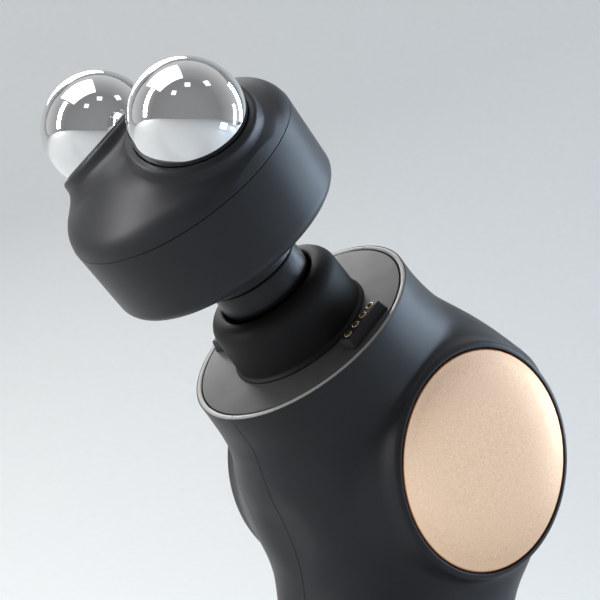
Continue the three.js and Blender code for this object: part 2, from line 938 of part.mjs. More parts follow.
function mainBoard() {
  const high = shelfHeight - seatGap;
  const face = boardX + boardThickness;
  const centre = (cellBottom + high) / 2 + chipSide;
  const board = block(boardX, face, -boardHalfWidth, boardHalfWidth, cellBottom, high);
  const mounted = (length, width, height, z) => solid(block(
    face - weld, face + height,
    -length / 2, length / 2,
    z - width / 2, z + width / 2,
  ));
  const chip = mounted(chipSide, chipSide, chipHeight, centre);
  const socket = mounted(socketLength, socketWidth, socketHeight, cellBottom + chipSide);
  return joined(solid(board), chip, socket);
}

// Base

function baseCap() {
  const rings = bodyRings(0, 1, 1, cavitySides, wall + seatGap);
  const outline = rings[0].map((point) => new THREE.Vector2(point.x, point.y));
  const plate = new THREE.ExtrudeGeometry(new THREE.Shape(outline), {
    depth: capThickness,
    bevelEnabled: false,
  });
  const padFloor = padSink + padThickness + seatGap;
  const pads = [-padX, padX].map((x) => solid(
    rodZ(padRadius + seatGap, -weld, padFloor).translate(x, 0, 0),
  ));
  const headFloor = baseScrewSink + baseScrewHeadHeight + seatGap;
  const screws = [-baseScrewY, baseScrewY].flatMap((y) => [
    solid(rodZ(screwRadius + seatGap, -weld, beyond).translate(0, y, 0)),
    solid(rodZ(screwHeadRadius + seatGap, -weld, headFloor).translate(0, y, 0)),
  ]);
  return cut(solid(plate), ...pads, ...screws);
}

function chargePad(x) {
  return solid(rodZ(padRadius, padSink, padSink + padThickness, medium).translate(x, 0, 0));
}

function baseScrew(y) {
  const headTop = baseScrewSink + baseScrewHeadHeight;
  const profile = [
    [0, baseScrewSink],
    [screwHeadRadius, baseScrewSink],
    [screwHeadRadius, headTop],
    [screwRadius, headTop],
    [screwRadius, baseScrewLength],
    [0, baseScrewLength],
  ];
  return solid(turnedZ(profile, coarse).translate(0, y, 0));
}

// Roller head

const socketBore = spigotRadius + runningGap;
const socketTop = spigotTop + 2 * seatGap;
const ringLow = collarTop + seatGap + 0.1;
const carrierRadius = headRadius - headWall - seatGap;

function collarRing() {
  const profile = [
    [socketBore, ringLow],
    [ringFoot, ringLow],
    [ringRadius, ringTop],
    [socketBore, ringTop],
    [socketBore, ringLow],
  ];
  return solid(turnedZ(profile, medium));
}

function headBase() {
  const neckLow = ringTop + seatGap;
  const bottomRadius = headRadius - headDraft - headFillet;
  const bore = headRadius - headWall;
  const profile = [
    [0, socketTop],
    [socketBore, socketTop],
    [socketBore, neckLow],
    [neckRadius, neckLow],
    [neckFlare, headBottom],
    ...arc(bottomRadius, headBottom + headFillet, headFillet, -90, 0, 4),
    [headRadius, headSeam - seatGap / 2],
    [bore, headSeam - seatGap / 2],
    [bore, carrierLow - seatGap],
    [bore - carrierLedge, carrierLow - seatGap],
    [bore - carrierLedge, headBottom + headFillet + hubRoof / 2],
    [bore - 2 * carrierLedge, headBottom + hubRoof],
    [hubRadius, headBottom + hubRoof],
    [hubRadius, socketTop + hubRoof],
    [0, socketTop + hubRoof],
  ];
  return solid(turnedZ(profile, fine));
}

// Places a solid made about Z, with its origin at the ball's centre, on one
// side of the head, leaning outwards.
function atBall(geometry, side) {
  return geometry.rotateX(-side * ballLean).translate(0, side * ballSpread, ballHeight);
}

const rimHalf = Math.sqrt(ballRadius ** 2 - ballSink ** 2);

function seatCollar(side) {
  const profile = [
    [0, -seatDepth],
    [rimHalf + seatFlare, -seatDepth],
    [rimHalf + 0.73 * seatFlare, -ballSink - 0.36 * seatDepth],
    [rimHalf + 0.43 * seatFlare, -ballSink - 0.2 * seatDepth],
    ...arc(rimHalf + seatEdge, -ballSink - seatEdge, seatEdge, 0, 90, 4),
    [0, -ballSink],
  ];
  return solid(atBall(turnedZ(profile, medium), side));
}

function headCap() {
  const low = headSeam + seatGap / 2;
  const crown = (share) => {
    const radius = (headRadius - capShoulder) * share;
    return [radius, roofHeight - crownDrop - crownBow * radius ** 2];
  };
  const barrel = solid(turnedZ([
    [0, low],
    [headRadius, low],
    [headRadius, capWall],
    ...arc(headRadius - capShoulder, capWall, capShoulder, 12, 60, 4),
    crown(0.99),
    crown(0.7),
    crown(0.37),
    crown(0),
  ], fine));
  const reach = headRadius + wall;
  const fall = (y) => {
    const run = Math.abs(y) > ridgeHalf ? Math.abs(y) : ridgeHalf / 2 + y ** 2 / (2 * ridgeHalf);
    return new THREE.Vector2(y, roofHeight - run * Math.tan(ballLean));
  };
  const roofOutline = new THREE.Shape([
    new THREE.Vector2(-reach, low - reach),
    new THREE.Vector2(reach, low - reach),
    ...[reach, ridgeHalf, ridgeHalf / 2, 0, -ridgeHalf / 2, -ridgeHalf, -reach].map(fall),
  ]);
  const roof = new THREE.ExtrudeGeometry(roofOutline, { depth: 2 * reach, bevelEnabled: false })
    .translate(0, 0, -reach)
    .rotateX(Math.PI / 2)
    .rotateZ(Math.PI / 2);
  const rough = barrel.intersect(solid(roof));
  const trim = solid(rodZ(headRadius - seatGap / 2, low, beyond, fine));
  const seats = [-1, 1].map((side) => seatCollar(side).intersect(trim));
  const lip = solid(turnedZ(tubeProfile(
    carrierRadius,
    carrierRadius - capLip + seatGap,
    carrierHigh + seatGap,
    low + 2 * weld,
  ), medium));
  const sockets = [-1, 1].map((side) => solid(
    atBall(ballSphere(ballRadius + runningGap), side),
  ));
  const bore = headRadius - headWall - capLip;
  const inside = solid(rodZ(bore, 0, low + wall + 2 * weld, medium));
  return joined(cut(joined(rough, ...seats), inside, ...sockets), lip);
}

function ballSphere(radius) {
  return new THREE.SphereGeometry(radius, medium, 12).rotateX(Math.PI / 2);
}

function rollerCarrier() {
  const plate = solid(rodZ(carrierRadius, carrierLow, carrierHigh, medium));
  const bosses = [-1, 1].map((side) => solid(
    atBall(rodZ(axleBossRadius, axleLow - wall, axleLow + axleBossHeight, medium), side),
  ));
  const bores = [-1, 1].map((side) => solid(
    atBall(rodZ(axleRadius + seatGap, axleLow - seatGap, 0, medium), side),
  ));
  return cut(joined(plate, ...bosses), ...bores);
}

function rollerAxle(side) {
  return solid(atBall(rodZ(axleRadius, axleLow, axleHigh, medium), side));
}

function rollerBall(side) {
  const ball = solid(atBall(ballSphere(ballRadius), side));
  const bore = solid(atBall(
    rodZ(axleRadius + runningGap, -2 * ballRadius, axleHigh + seatGap, medium), side,
  ));
  return ball.subtract(bore);
}

// Assembly

const massager = new THREE.Group();
const headGroup = new THREE.Group();
headGroup.position.copy(headPlace.position);
headGroup.rotation.copy(headPlace.rotation);
massager.add(headGroup);

const charcoal = 0x3c3d40;
const jet = 0x1d1d1f;
const plateGrey = 0x7a7a7a;
const gold = 0xd9b08c;
const pinGold = 0xe0bb5a;
const steel = 0xb8babd;
const chrome = 0xe6e8ea;
const green = 0x1f5a3a;
const brass = 0xb08d4a;

massager.add(
  finish('front_shell', frontShell(), charcoal, 0.45, 0),
  finish('back_shell', backShell(), charcoal, 0.45, 0),
  finish('contact_disc', contactDisc(), gold, 0.35, 1),
  finish('control_panel', controlPanel(), jet, 0.3, 0),
  finish('level_lights', levelLights(), 0xf4f4f0, 0.4, 0),
  finish('switch_board', switchBoard(), green, 0.6, 0),
  finish('case_screw_outer', caseScrew(...screwPlaces[0]), steel, 0.35, 1),
  finish('case_screw_inner', caseScrew(...screwPlaces[1]), steel, 0.35, 1),
  finish('motor_can', motorCan(), steel, 0.35, 1),
  finish('motor_shaft', motorShaft(), steel, 0.3, 1),
  finish('inner_frame', innerFrame(), 0x55585c, 0.6, 0),
  finish('battery', battery(), 0x2f6fb0, 0.5, 0),
  finish('main_board', mainBoard(), green, 0.6, 0),
  finish('base_cap', baseCap(), charcoal, 0.55, 0),
  finish('charge_pad_left', chargePad(-padX), pinGold, 0.3, 1),
  finish('charge_pad_right', chargePad(padX), pinGold, 0.3, 1),
  finish('base_screw_front', baseScrew(-baseScrewY), steel, 0.35, 1),
  finish('base_screw_back', baseScrew(baseScrewY), steel, 0.35, 1),
);
for (const [name, z, radius] of buttons) {
  massager.add(finish(name, button(z, radius), charcoal, 0.5, 0));
}

const crank = finish('crank_disc', crankDisc(), steel, 0.4, 1);
crank.position.z = -neckReach;
headGroup.add(
  crank,
  finish('top_plate', topPlate(), plateGrey, 0.5, 0),
  finish('contact_block', contactBlock(), jet, 0.5, 0),
  finish('rear_key', keyBlock(0, -keyPocket + seatGap, keyHeight, 1), jet, 0.5, 0),
  finish('connector_board', connectorBoard(), green, 0.6, 0),
  finish('shaft_boss', shaftBoss(), jet, 0.5, 0),
  finish('shaft_bushing', shaftBushing(), brass, 0.35, 1),
  finish('shaft_seal', shaftSeal(), 0x151515, 0.8, 0),
  finish('shaft_rod', shaftRod(), steel, 0.25, 1),
  finish('shaft_collar', shaftCollar(), jet, 0.35, 0),
  finish('spigot_ring', spigotRing(), 0x202020, 0.8, 0),
  finish('shaft_yoke', shaftYoke(), 0xe2e0d8, 0.5, 0),
  finish('collar_ring', collarRing(), 0xa8a8a2, 0.4, 0.6),
  finish('head_base', headBase(), charcoal, 0.5, 0),
  finish('head_cap', headCap(), charcoal, 0.45, 0),
  finish('roller_carrier', rollerCarrier(), 0x6a6d70, 0.6, 0),
  finish('roller_axle_front', rollerAxle(-1), steel, 0.25, 1),
  finish('roller_axle_back', rollerAxle(1), steel, 0.25, 1),
  finish('roller_front', rollerBall(-1), chrome, 0.05, 1),
  finish('roller_back', rollerBall(1), chrome, 0.05, 1),
);
pinXs.forEach((x, i) => {
  headGroup.add(finish(`contact_pin_${i + 1}`, contactPin(x), pinGold, 0.25, 1));
});

export default massager;
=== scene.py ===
import math

import bmesh
import bpy
import numpy as np
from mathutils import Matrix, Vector
from mathutils.geometry import tessellate_polygon


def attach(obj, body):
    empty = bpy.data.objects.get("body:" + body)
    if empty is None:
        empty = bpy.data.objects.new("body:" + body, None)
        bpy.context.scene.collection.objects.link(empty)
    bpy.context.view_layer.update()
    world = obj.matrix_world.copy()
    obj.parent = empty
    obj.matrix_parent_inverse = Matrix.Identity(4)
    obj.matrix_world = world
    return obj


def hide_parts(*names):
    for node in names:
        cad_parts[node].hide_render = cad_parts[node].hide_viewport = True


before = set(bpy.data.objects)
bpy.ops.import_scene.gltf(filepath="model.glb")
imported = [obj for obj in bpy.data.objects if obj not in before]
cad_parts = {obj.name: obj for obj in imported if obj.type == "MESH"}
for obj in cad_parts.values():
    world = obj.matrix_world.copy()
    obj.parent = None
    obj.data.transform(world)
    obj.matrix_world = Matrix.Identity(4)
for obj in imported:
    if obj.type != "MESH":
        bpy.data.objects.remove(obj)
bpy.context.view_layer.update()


# The photographer's table. One sheet of pale paper sweeps up behind the massager. Soft
# boxes hang over and behind it, strips stand far out at both sides, two small cards light
# the metal disc, and three little lamps show as windows in the balls. Sizes in metres.

def mesh_from(name, grids, sharp=35.0):
    """Joins grids of points, in millimetres, or stacks of grids into one mesh. A grid is
    rows of points, and four points of two neighbouring rows are a face. Points that meet
    become one, so a closed row or a pole leaves no seam."""
    corners, faces, taken = [], [], 0
    for grid in grids:
        rows, columns = grid.shape[-3:-1]
        index = taken + np.arange(grid.size // 3).reshape(-1, rows, columns)
        ring = [index[:, :-1, :-1], index[:, :-1, 1:], index[:, 1:, 1:], index[:, 1:, :-1]]
        faces.append(np.stack(ring, -1).reshape(-1, 4))
        corners.append(np.asarray(grid, float).reshape(-1, 3))
        taken += index.size
    corners = np.concatenate(corners)
    faces = np.concatenate(faces)
    same_point = 2e-4
    keys = np.round(corners / same_point).astype(np.int64)
    _, first, back = np.unique(keys, axis=0, return_index=True, return_inverse=True)
    faces = back.reshape(-1)[faces]
    double = faces == np.roll(faces, -1, axis=1)
    whole = double.sum(1) < 2
    mesh = bpy.data.meshes.new(name)
    mesh.from_pydata(corners[first] * 0.001, [],
                     [face[~twice].tolist() for face, twice in zip(faces[whole], double[whole])])
    mesh.validate()
    outward = bmesh.new()
    outward.from_mesh(mesh)
    bmesh.ops.recalc_face_normals(outward, faces=outward.faces)
    outward.to_mesh(mesh)
    outward.free()
    mesh.shade_smooth()
    mesh.set_sharp_from_angle(angle=math.radians(sharp))
    return mesh


def put(name, mesh, paint):
    """Shows a mesh as an object of that name, with that finish."""
    thing = bpy.data.objects.new(name, mesh)
    bpy.context.scene.collection.objects.link(thing)
    mesh.materials.append(paint.material)
    return thing


class Field:
    """A number or colour that the nodes work out, written as ordinary arithmetic."""

    def __init__(self, nodes, socket):
        self.nodes = nodes
        self.socket = socket

    def meets(self, operation, other, swapped=False):
        pair = (other, self) if swapped else (self, other)
        return self.nodes.node("Math", {"operation": operation}, dict(enumerate(pair)))

    def __add__(self, other):
        return self.meets("ADD", other)

    __radd__ = __add__

    def __sub__(self, other):
        return self.meets("SUBTRACT", other)

    def __rsub__(self, other):
        return self.meets("SUBTRACT", other, swapped=True)

    def __mul__(self, other):
        return self.meets("MULTIPLY", other)

    __rmul__ = __mul__

    def __gt__(self, other):
        return self.meets("GREATER_THAN", other)

    def __lt__(self, other):
        return self.meets("LESS_THAN", other)

    def __abs__(self):
        return self.meets("ABSOLUTE", 0.0)


class Nodes:
    """The shader nodes of a material or of the room."""

    def __init__(self, tree):
        self.tree = tree

    def node(self, kind, settings=None, sockets=None, out=0):
        """Adds a node of that kind, sets it up, feeds its sockets, gives one output."""
        made = self.tree.nodes.new("ShaderNode" + kind)
        for key, value in (settings or {}).items():
            setattr(made, key, value)
        for key, value in (sockets or {}).items():
            self.feed(made.inputs[key], value)
        return Field(self, made.outputs[out])

    def feed(self, socket, value):
        if isinstance(value, Field):
            self.tree.links.new(value.socket, socket)
        else:
            socket.default_value = value

    def vector(self, operation, one, other, out=0):
        return self.node("VectorMath", {"operation": operation}, {0: one, 1: other}, out)


class Paint(Nodes):
    """One finish: a shader with its even values, and the nodes that vary the rest."""

    def __init__(self, name, specular=0.5, metallic=0.0, **even):
        self.material = bpy.data.materials.new(name)
        self.material.use_nodes = True
        super().__init__(self.material.node_tree)
        self.shader = self.tree.nodes["Principled BSDF"]
        even.update({"Specular IOR Level": specular, "Metallic": metallic})
        for socket, value in even.items():
            self.shader.inputs[socket].default_value = value
        self.where = self.node("TexCoord", out="Object")

    def noise(self, size, detail=2.0, rough=0.5):
        """Clouds whose lumps are about that many millimetres across."""
        values = {"Vector": self.where, "Scale": 1000 / size, "Detail": detail,
                  "Roughness": rough}
        return self.node("TexNoise", {}, values)

    def mix(self, share, one, other):
        """One colour going over to another as share goes from 0 to 1."""
        values = {"Factor": share, 6: (*one, 1) if isinstance(one, tuple) else one,
                  7: (*other, 1) if isinstance(other, tuple) else other}
        return self.node("Mix", {"data_type": "RGBA"}, values, out=2)

    def along(self, axis, through=(0, 0, 0)):
        """Distance in millimetres along an axis from the point that it goes through."""
        moved = self.vector("SUBTRACT", self.where, through)
        return self.vector("DOT_PRODUCT", moved, axis, "Value") * 1000

    def around(self, axis, through):
        """Distance in millimetres from an axis."""
        moved = self.vector("SUBTRACT", self.where, through)
        side = self.vector("CROSS_PRODUCT", moved, axis)
        return self.vector("LENGTH", side, (0, 0, 0), "Value") * 1000

    def bump(self, height, strength, depth):
        values = {"Height": height, "Strength": strength, "Distance": depth * 0.001}
        self.feed(self.shader.inputs["Normal"], self.node("Bump", {}, values))

    def colour(self, value):
        self.feed(self.shader.inputs["Base Color"], value)

    def rough(self, value):
        self.feed(self.shader.inputs["Roughness"], value)


def lit(r, g, b):
    """A colour as the eye reads it on a screen, 0 to 255, turned into light."""
    share = np.array([r, g, b]) / 255
    curved = ((share + 0.055) / 1.055) ** 2.4
    return tuple(float(v) for v in np.where(share < 0.04, share / 12.92, curved))


paper_near, paper_flat, sweep_radius, paper_reach = -0.9, 0.5, 0.45, 1.6
paper = Paint("paper", Roughness=0.9)
paper.colour(paper.mix(paper.noise(4), lit(198, 198, 196), lit(202, 202, 200)))
turn = np.linspace(0, np.pi / 2, 24)
paper_run = np.concatenate([
    [[paper_near, 0]],
    np.stack([paper_flat + sweep_radius * np.sin(turn), sweep_radius * (1 - np.cos(turn))], -1),
    [[paper_flat + sweep_radius, paper_reach]],
])
paper_sides = np.linspace(-paper_reach, paper_reach, 3)
view_turn = math.radians(39.86)
ahead = np.array([math.sin(view_turn), math.cos(view_turn)])
across = np.array([math.cos(view_turn), -math.sin(view_turn)])
paper_grid = np.concatenate([
    paper_run[:, None, :1] * ahead + paper_sides[None, :, None] * across,
    np.repeat(paper_run[:, None, 1:], 3, axis=1),
], -1)
table = put("table", mesh_from("table", [paper_grid * 1000]), paper)

world = bpy.data.worlds.new("room")
bpy.context.scene.world = world
world.use_nodes = True
room = Nodes(world.node_tree)
fill = room.tree.nodes["Background"]
fill.inputs["Color"].default_value = (*lit(205, 207, 210), 1)
fill.inputs["Strength"].default_value = 0.5
looking = room.node("TexCoord", out="Generated")
toward_eye = room.vector("DOT_PRODUCT", looking, (*-0.5 * ahead, 0), "Value") + 0.5
walls = room.node("ValToRGB", {}, {"Fac": toward_eye}, "Color")
steps = walls.socket.node.color_ramp.elements
steps.new(0.5)
steps.new(0.7)
for stop, place, grey in zip(steps, (0.15, 0.5, 0.7, 1), (226, 168, 138, 148)):
    stop.position = place
    stop.color = (*lit(grey, grey, grey), 1)
pale = room.node("Background", {}, {"Color": walls})
seen = room.node("LightPath", out="Is Camera Ray")
for ray in ("Is Glossy Ray", "Is Transmission Ray"):
    seen = seen.meets("MAXIMUM", room.node("LightPath", out=ray))
choice = room.node("MixShader", {},
                   {"Fac": seen, 1: Field(room, fill.outputs["Background"]), 2: pale})
room.feed(room.tree.nodes["World Output"].inputs["Surface"], choice)


def lamp(name, place, aim, width, height, watts, tint=(1, 1, 1)):
    """A soft box: a flat lamp of that width and height that faces its aim."""
    box = bpy.data.lights.new(name, "AREA")
    box.shape = "RECTANGLE"
    box.size = width
    box.size_y = height
    box.energy = watts
    box.color = tint
    holder = bpy.data.objects.new(name, box)
    holder.location = place
    toward = Vector(aim) - Vector(place)
    holder.rotation_euler = toward.to_track_quat("-Z", "Y").to_euler()
    bpy.context.scene.collection.objects.link(holder)


middle, disc_middle = (-0.02, 0, 0.10), (0, -0.027, 0.08)
lamp("overhead", (-0.32, 0.18, 0.72), middle, 0.5, 0.5, 2)
lamp("back_box", (0.16, 0.62, 0.52), middle, 0.36, 0.36, 2.6)
lamp("left_strip", (-1.2, 0.7, 0.6), middle, 0.2, 1, 17)
lamp("right_strip", (1.18, -0.16, 0.55), middle, 0.24, 0.9, 10, (0.66, 0.82, 1))
lamp("edge_card", (0.58, -0.34, 0.2), disc_middle, 0.07, 0.3, 1.7, (0.6, 0.78, 1))
lamp("low_card", (0.155, -0.3, 0.05), disc_middle, 0.1, 0.06, 0.07, (0.68, 0.84, 1))
windows = ((-0.72, -0.3, 0.72), (-0.34, -0.39, 0.85), (0.1, -0.43, 0.78))
for number, place in enumerate(windows, start=1):
    lamp(f"window_{number}", place, middle, 0.13, 0.13, 0.08)

eye_place, eye_tilt = Vector((-0.3341, -0.3695, 0.0956)), math.radians(-1.685)
photo_width, photo_focus = 600, 2419.6
behind = Vector((-math.sin(view_turn) * math.cos(eye_tilt),
                 -math.cos(view_turn) * math.cos(eye_tilt), math.sin(eye_tilt)))
eye = bpy.data.cameras.new("eye")
eye.sensor_width = 36
eye.lens = 36 * photo_focus / photo_width
eye.clip_start = 0.01
watcher = bpy.data.objects.new("eye", eye)
watcher.location = eye_place
watcher.rotation_euler = behind.to_track_quat("Z", "Y").to_euler()
bpy.context.scene.collection.objects.link(watcher)
bpy.context.scene.camera = watcher
bpy.context.scene.view_settings.view_transform = "Standard"


# The housing. Two moulded shells of charcoal satin plastic, split on the plane of the
# bend. Each has a round recess: the front one for the metal disc, the back one for the
# control panel. A tongue inside the seam keeps the halves in line and the light in.

elbow_height = 78.0
elbow_outer = 35.4
neck_reach = 36.4
lean = math.radians(45)
rim_radius = 24.75
head_side = np.array([math.cos(lean), 0, math.sin(lean)])
head_axis = np.array([-math.sin(lean), 0, math.cos(lean)])
head_foot = np.array([0, 0, elbow_height]) + neck_reach * head_axis


def in_head(points):
    """Points of the head's own frame, whose Z is the shaft, placed in the part."""
    points = np.asarray(points, float)
    return (head_foot + points[..., :1] * head_side + points[..., 1:2] * np.array([0, 1, 0])
            + points[..., 2:] * head_axis)


oval_power = 2.3


def grip_section(height, half_width, half_depth):
    """A cross-section: its inner x and z, its outer x and z, its half depth, the power of
    its oval, and how much deeper its inner side is than its outer one."""
    return [-half_width, height, half_width, height, half_depth, oval_power, 0]


def elbow_section(inner_x, inner_z, outer_turn, outer_reach, half_depth, egg=0.0):
    turned_by = math.radians(outer_turn)
    radius = elbow_outer + outer_reach
    return [inner_x, elbow_height + inner_z, radius * math.cos(turned_by),
            elbow_height + radius * math.sin(turned_by), half_depth, oval_power, egg]


def neck_section(inner_flare, inner_drop, outer_flare, outer_drop, half_depth, egg):
    start = in_head([-rim_radius - inner_flare, 0, -inner_drop])
    end = in_head([rim_radius + outer_flare, 0, -outer_drop])
    return [start[0], start[2], end[0], end[2], half_depth, 2, egg]


grip_width, grip_depth, elbow_depth = 20.0, 18.8, 24.5
sections = np.array([
    grip_section(0, 17.5, 16.5),
    grip_section(4 / 3, 18.5, 17.4),
    grip_section(4, grip_width - 0.9, grip_depth - 0.8),
    grip_section(0.21 * elbow_height, grip_width, grip_depth),
    grip_section(0.38 * elbow_height, grip_width + 1.3, grip_depth + 1.1),
    elbow_section(-23.9, -32, -49, 2.6, elbow_depth - 3),
    elbow_section(-24.7, -25, -33, -0.6, elbow_depth - 1.2),
    elbow_section(-26.4, -19, -10, -0.8, elbow_depth + 0.2),
    elbow_section(-29.8, -12.3, 13, 0, elbow_depth + 0.7, 0.03),
    elbow_section(-33.1, -7.25, 35, 1.6, elbow_depth + 0.85, 0.03),
    neck_section(1.5, 12, 5.5, 24, rim_radius + 0.65, 0.03),
    neck_section(0.25, 8.5, 2.15, 14, rim_radius + 0.2, 0.06),
    neck_section(0, 4.5, 0.6, 6.5, rim_radius, 0.04),
    neck_section(0, 0, 0, 0, rim_radius, 0),
])
last_section = len(sections) - 1


def section_at(place):
    """The values of a cross-section between the listed ones: a cubic through the four
    nearest, so that the body has no crease."""
    padded = np.concatenate([2 * sections[:1] - sections[1:2], sections,
                             2 * sections[-1:] - sections[-2:-1]])
    place = np.clip(place, 0, last_section - 1e-9)
    whole = place.astype(int)
    part = (place - whole)[..., None]
    a, b, c, d = (padded[whole + step] for step in range(4))
    return (b + 0.5 * part * (c - a) + part ** 2 * (a - 2.5 * b + 2 * c - 0.5 * d)
            + part ** 3 * (1.5 * (b - c) + 0.5 * (d - a)))


def flank(place, share):
    """A point on the body's flank. place runs from base to rim, and share from -1 at
    the inner side of the bend to 1 at the outer side. Gives x, z and the half depth."""
    values = section_at(place)
    inner, outer = values[..., 0:2], values[..., 2:4]
    where = (inner + outer) / 2 + (outer - inner) / 2 * share[..., None]
    square = values[..., 5]
    left = np.clip(1 - np.abs(share) ** square, 0, 1)
    depth = values[..., 4] * (1 - values[..., 6] * share) * left ** (1 / square)
    return where, depth


def flank_place(x, z):
    """The place and share whose flank point lies at x, z, by Newton's steps."""
    place = np.full(x.shape, 8.0)
    share = np.zeros(x.shape)
    target = np.stack([x, z], -1)
    small = 1e-4
    for _ in range(40):
        here, _ = flank(place, share)
        slopes = np.stack([flank(place + small, share)[0] - here,
                           flank(place, share + small)[0] - here], -1) / small
        step = np.linalg.solve(slopes, (target - here)[..., None])[..., 0]
        place = np.clip(place + np.clip(step[..., 0], -1, 1), 0.1, last_section - 0.1)
        share = np.clip(share + np.clip(step[..., 1], -0.3, 0.3), -0.999, 0.999)
    return place, share


def soft_max(one, other, blend):
    """The larger of two heights, with a fillet of about that size where they cross."""
    near = np.clip(0.5 + 0.5 * (one - other) / blend, 0, 1)
    return other + (one - other) * near + blend * near * (1 - near)


boss_height, boss_radius, boss_edge = 26.5, 22.5, 1.2
recess_radius = 22.3
edge_turn = np.radians([0, 15, 30, 50, 70, 90])


def boss_depth(radius):
    """Half depth of the round face's shoulder: an arc at its edge, then a falling flare."""
    knots = np.array([0, boss_radius, 22.9, 23.25, 23.5, 23.68, 24.5, 26.5, 29, 31, 33, 35])
    falls = np.array([0, 0, 0.07, 0.26, 0.55, 1.0, 3.6, 7.0, 11.5, 16, 21.5, 28])
    return boss_height - np.interp(radius, knots, falls)


def with_boss(flank_depth, radius):
    """The flank's half depth raised to the round face's shoulder. The fillet between them
    grows outwards, and the rise dies away as a quarter circle towards the seam."""
    fillet = np.interp(radius, [24, 27, 31], [1.2, 2.5, 6])
    raised = soft_max(flank_depth, boss_depth(radius), fillet)
    near_seam = np.clip(flank_depth / 10, 0, 1)
    return flank_depth + (raised - flank_depth) * np.sqrt(near_seam * (2 - near_seam))


def swept(profile, turn):
    """The surface that a profile of [radius, height] sweeps over those turns about Z."""
    profile = np.asarray(profile, float)
    radius, height = profile[:, :1], profile[:, 1:]
    return np.stack([radius * np.cos(turn), radius * np.sin(turn), height + 0 * turn], -1)


def share_of(place, angle):
    """The share at an angle round the oval cross-section, where 0 is the outer side."""
    c = np.cos(angle)
    return np.sign(c) * np.abs(c) ** (2 / section_at(place)[..., 5])


def flank_points(place, angle):
    """Points on the body's flank."""
    where, depth = flank(place, share_of(place, angle))
    return np.stack([where[..., 0], depth, where[..., 1]], -1)


def housing_half(name, side, recess_floor):
    """Half of the housing. A fan of rings runs from the round recess out to the seam,
    and straight rows run on from it down the grip and up the neck to the rim."""
    low, high, columns = 4.4, 12.35, 97
    spread = np.linspace(0, np.pi, columns)
    spread = spread - 0.35 * np.sin(2 * spread) / 2
    climb = np.linspace(low, high, 91)
    sides = ((low, spread), (climb[1:-1], np.pi), (high, spread[::-1]), (climb[::-1][1:], 0.0))
    edge = np.concatenate([np.stack(np.broadcast_arrays(*line), -1) for line in sides])
    rim, _ = flank(edge[:, 0], share_of(edge[:, 0], edge[:, 1]))
    turn = np.arctan2(rim[:, 1] - elbow_height, rim[:, 0])
    radii = np.concatenate([[recess_radius, 22.42], boss_radius + boss_edge * np.sin(edge_turn),
                            np.linspace(24.1, 27.5, 9)])
    ring_x = np.outer(radii, np.cos(turn))
    ring_z = elbow_height + np.outer(radii, np.sin(turn))
    place, share = flank_place(ring_x, ring_z)
    _, flank_depth = flank(place, share)
    depth = with_boss(flank_depth, radii[:, None])
    depth[:3] = boss_height
    depth[0] -= 0.12
    rings = np.stack([ring_x, depth, ring_z], -1)
    square = section_at(place[-1])[..., 5]
    angle = np.arccos(np.sign(share[-1]) * np.abs(share[-1]) ** (square / 2))
    step = np.linspace(0, 1, 34)[1:, None]
    fan = flank_points(place[-1] + (edge[:, 0] - place[-1]) * step,
                       angle + (edge[:, 1] - angle) * (1 - (1 - step) ** 1.4))
    fan[..., 1] = with_boss(fan[..., 1], np.hypot(fan[..., 0], fan[..., 2] - elbow_height))

    def rows(start, stop, count):
        places = np.linspace(start, stop, count)[:, None] + np.zeros(columns)
        return flank_points(places, np.zeros((count, 1)) + spread)

    grip = rows(0, low, 70)
    neck = rows(high, last_section - 0.02, 14)
    rim_round = 0.45
    round_turn = np.array([0, 0.25, 0.5, 0.75, 1]) * np.pi / 2
    lip = np.stack([rim_radius - rim_round + rim_round * np.cos(round_turn),
                    -rim_round + rim_round * np.sin(round_turn)], -1)
    ledge = [[23.75, 0], [23.6, -0.12], [23.6, -2.7], [21.6, -2.7], [21.6, -5]]
    lip = np.concatenate([lip, ledge])
    foot_share = np.array([[1, 0], [0.93, 0], [0.9, 0.1], [0.9, 2.5]])
    foot = np.stack([grip[0] * [s, s, 0] + [0, 0, rise] for s, rise in foot_share])
    wall = np.stack([rings[0], rings[0] * [1, 0, 1] + [0, recess_floor, 0]])
    floor = np.stack([wall[1], wall[1] * [0.8, 1, 0.8] + [0, 0, 0.2 * elbow_height]])
    grids = [np.concatenate([floor[::-1], wall[::-1], rings, fan]), grip, foot[::-1],
             np.concatenate([neck, in_head(swept(lip, spread))])]
    half_seam = 0.07
    for grid in grids:
        grid[..., 1] = side * np.maximum(grid[..., 1], half_seam)
    return put(name, mesh_from(name, grids, sharp=50), satin)


satin = Paint("charcoal_satin", specular=0.26)
top_height = satin.along(tuple(head_axis), tuple(head_foot * 0.001))
# The flat top edge of each shell at the rim is painted pale grey, a little smoother too: a painted
# highlight where the edge catches the light.
painted_highlight_rim = top_height > -0.12
tone = satin.mix(satin.noise(9, 3), lit(30, 31, 34), lit(36, 37, 41))
satin.colour(satin.mix(painted_highlight_rim, tone, lit(150, 150, 149)))
satin.rough(0.40 + 0.08 * satin.noise(14, 2) - 0.06 * painted_highlight_rim)
satin.bump(satin.noise(0.22, 2) + 0.4 * satin.noise(0.7, 1), 0.16, 0.03)

for name, side, floor_depth, node in (("front_half", -1, 25.3, "front_shell"),
                                      ("back_half", 1, 25.0, "back_shell")):
    half = housing_half(name, side, floor_depth)
    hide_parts(node)
    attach(half, "housing")


def unit(vectors):
    """Vectors made one long, where a zero stays zero."""
    return vectors / (np.linalg.norm(vectors, axis=-1, keepdims=True) + 1e-12)


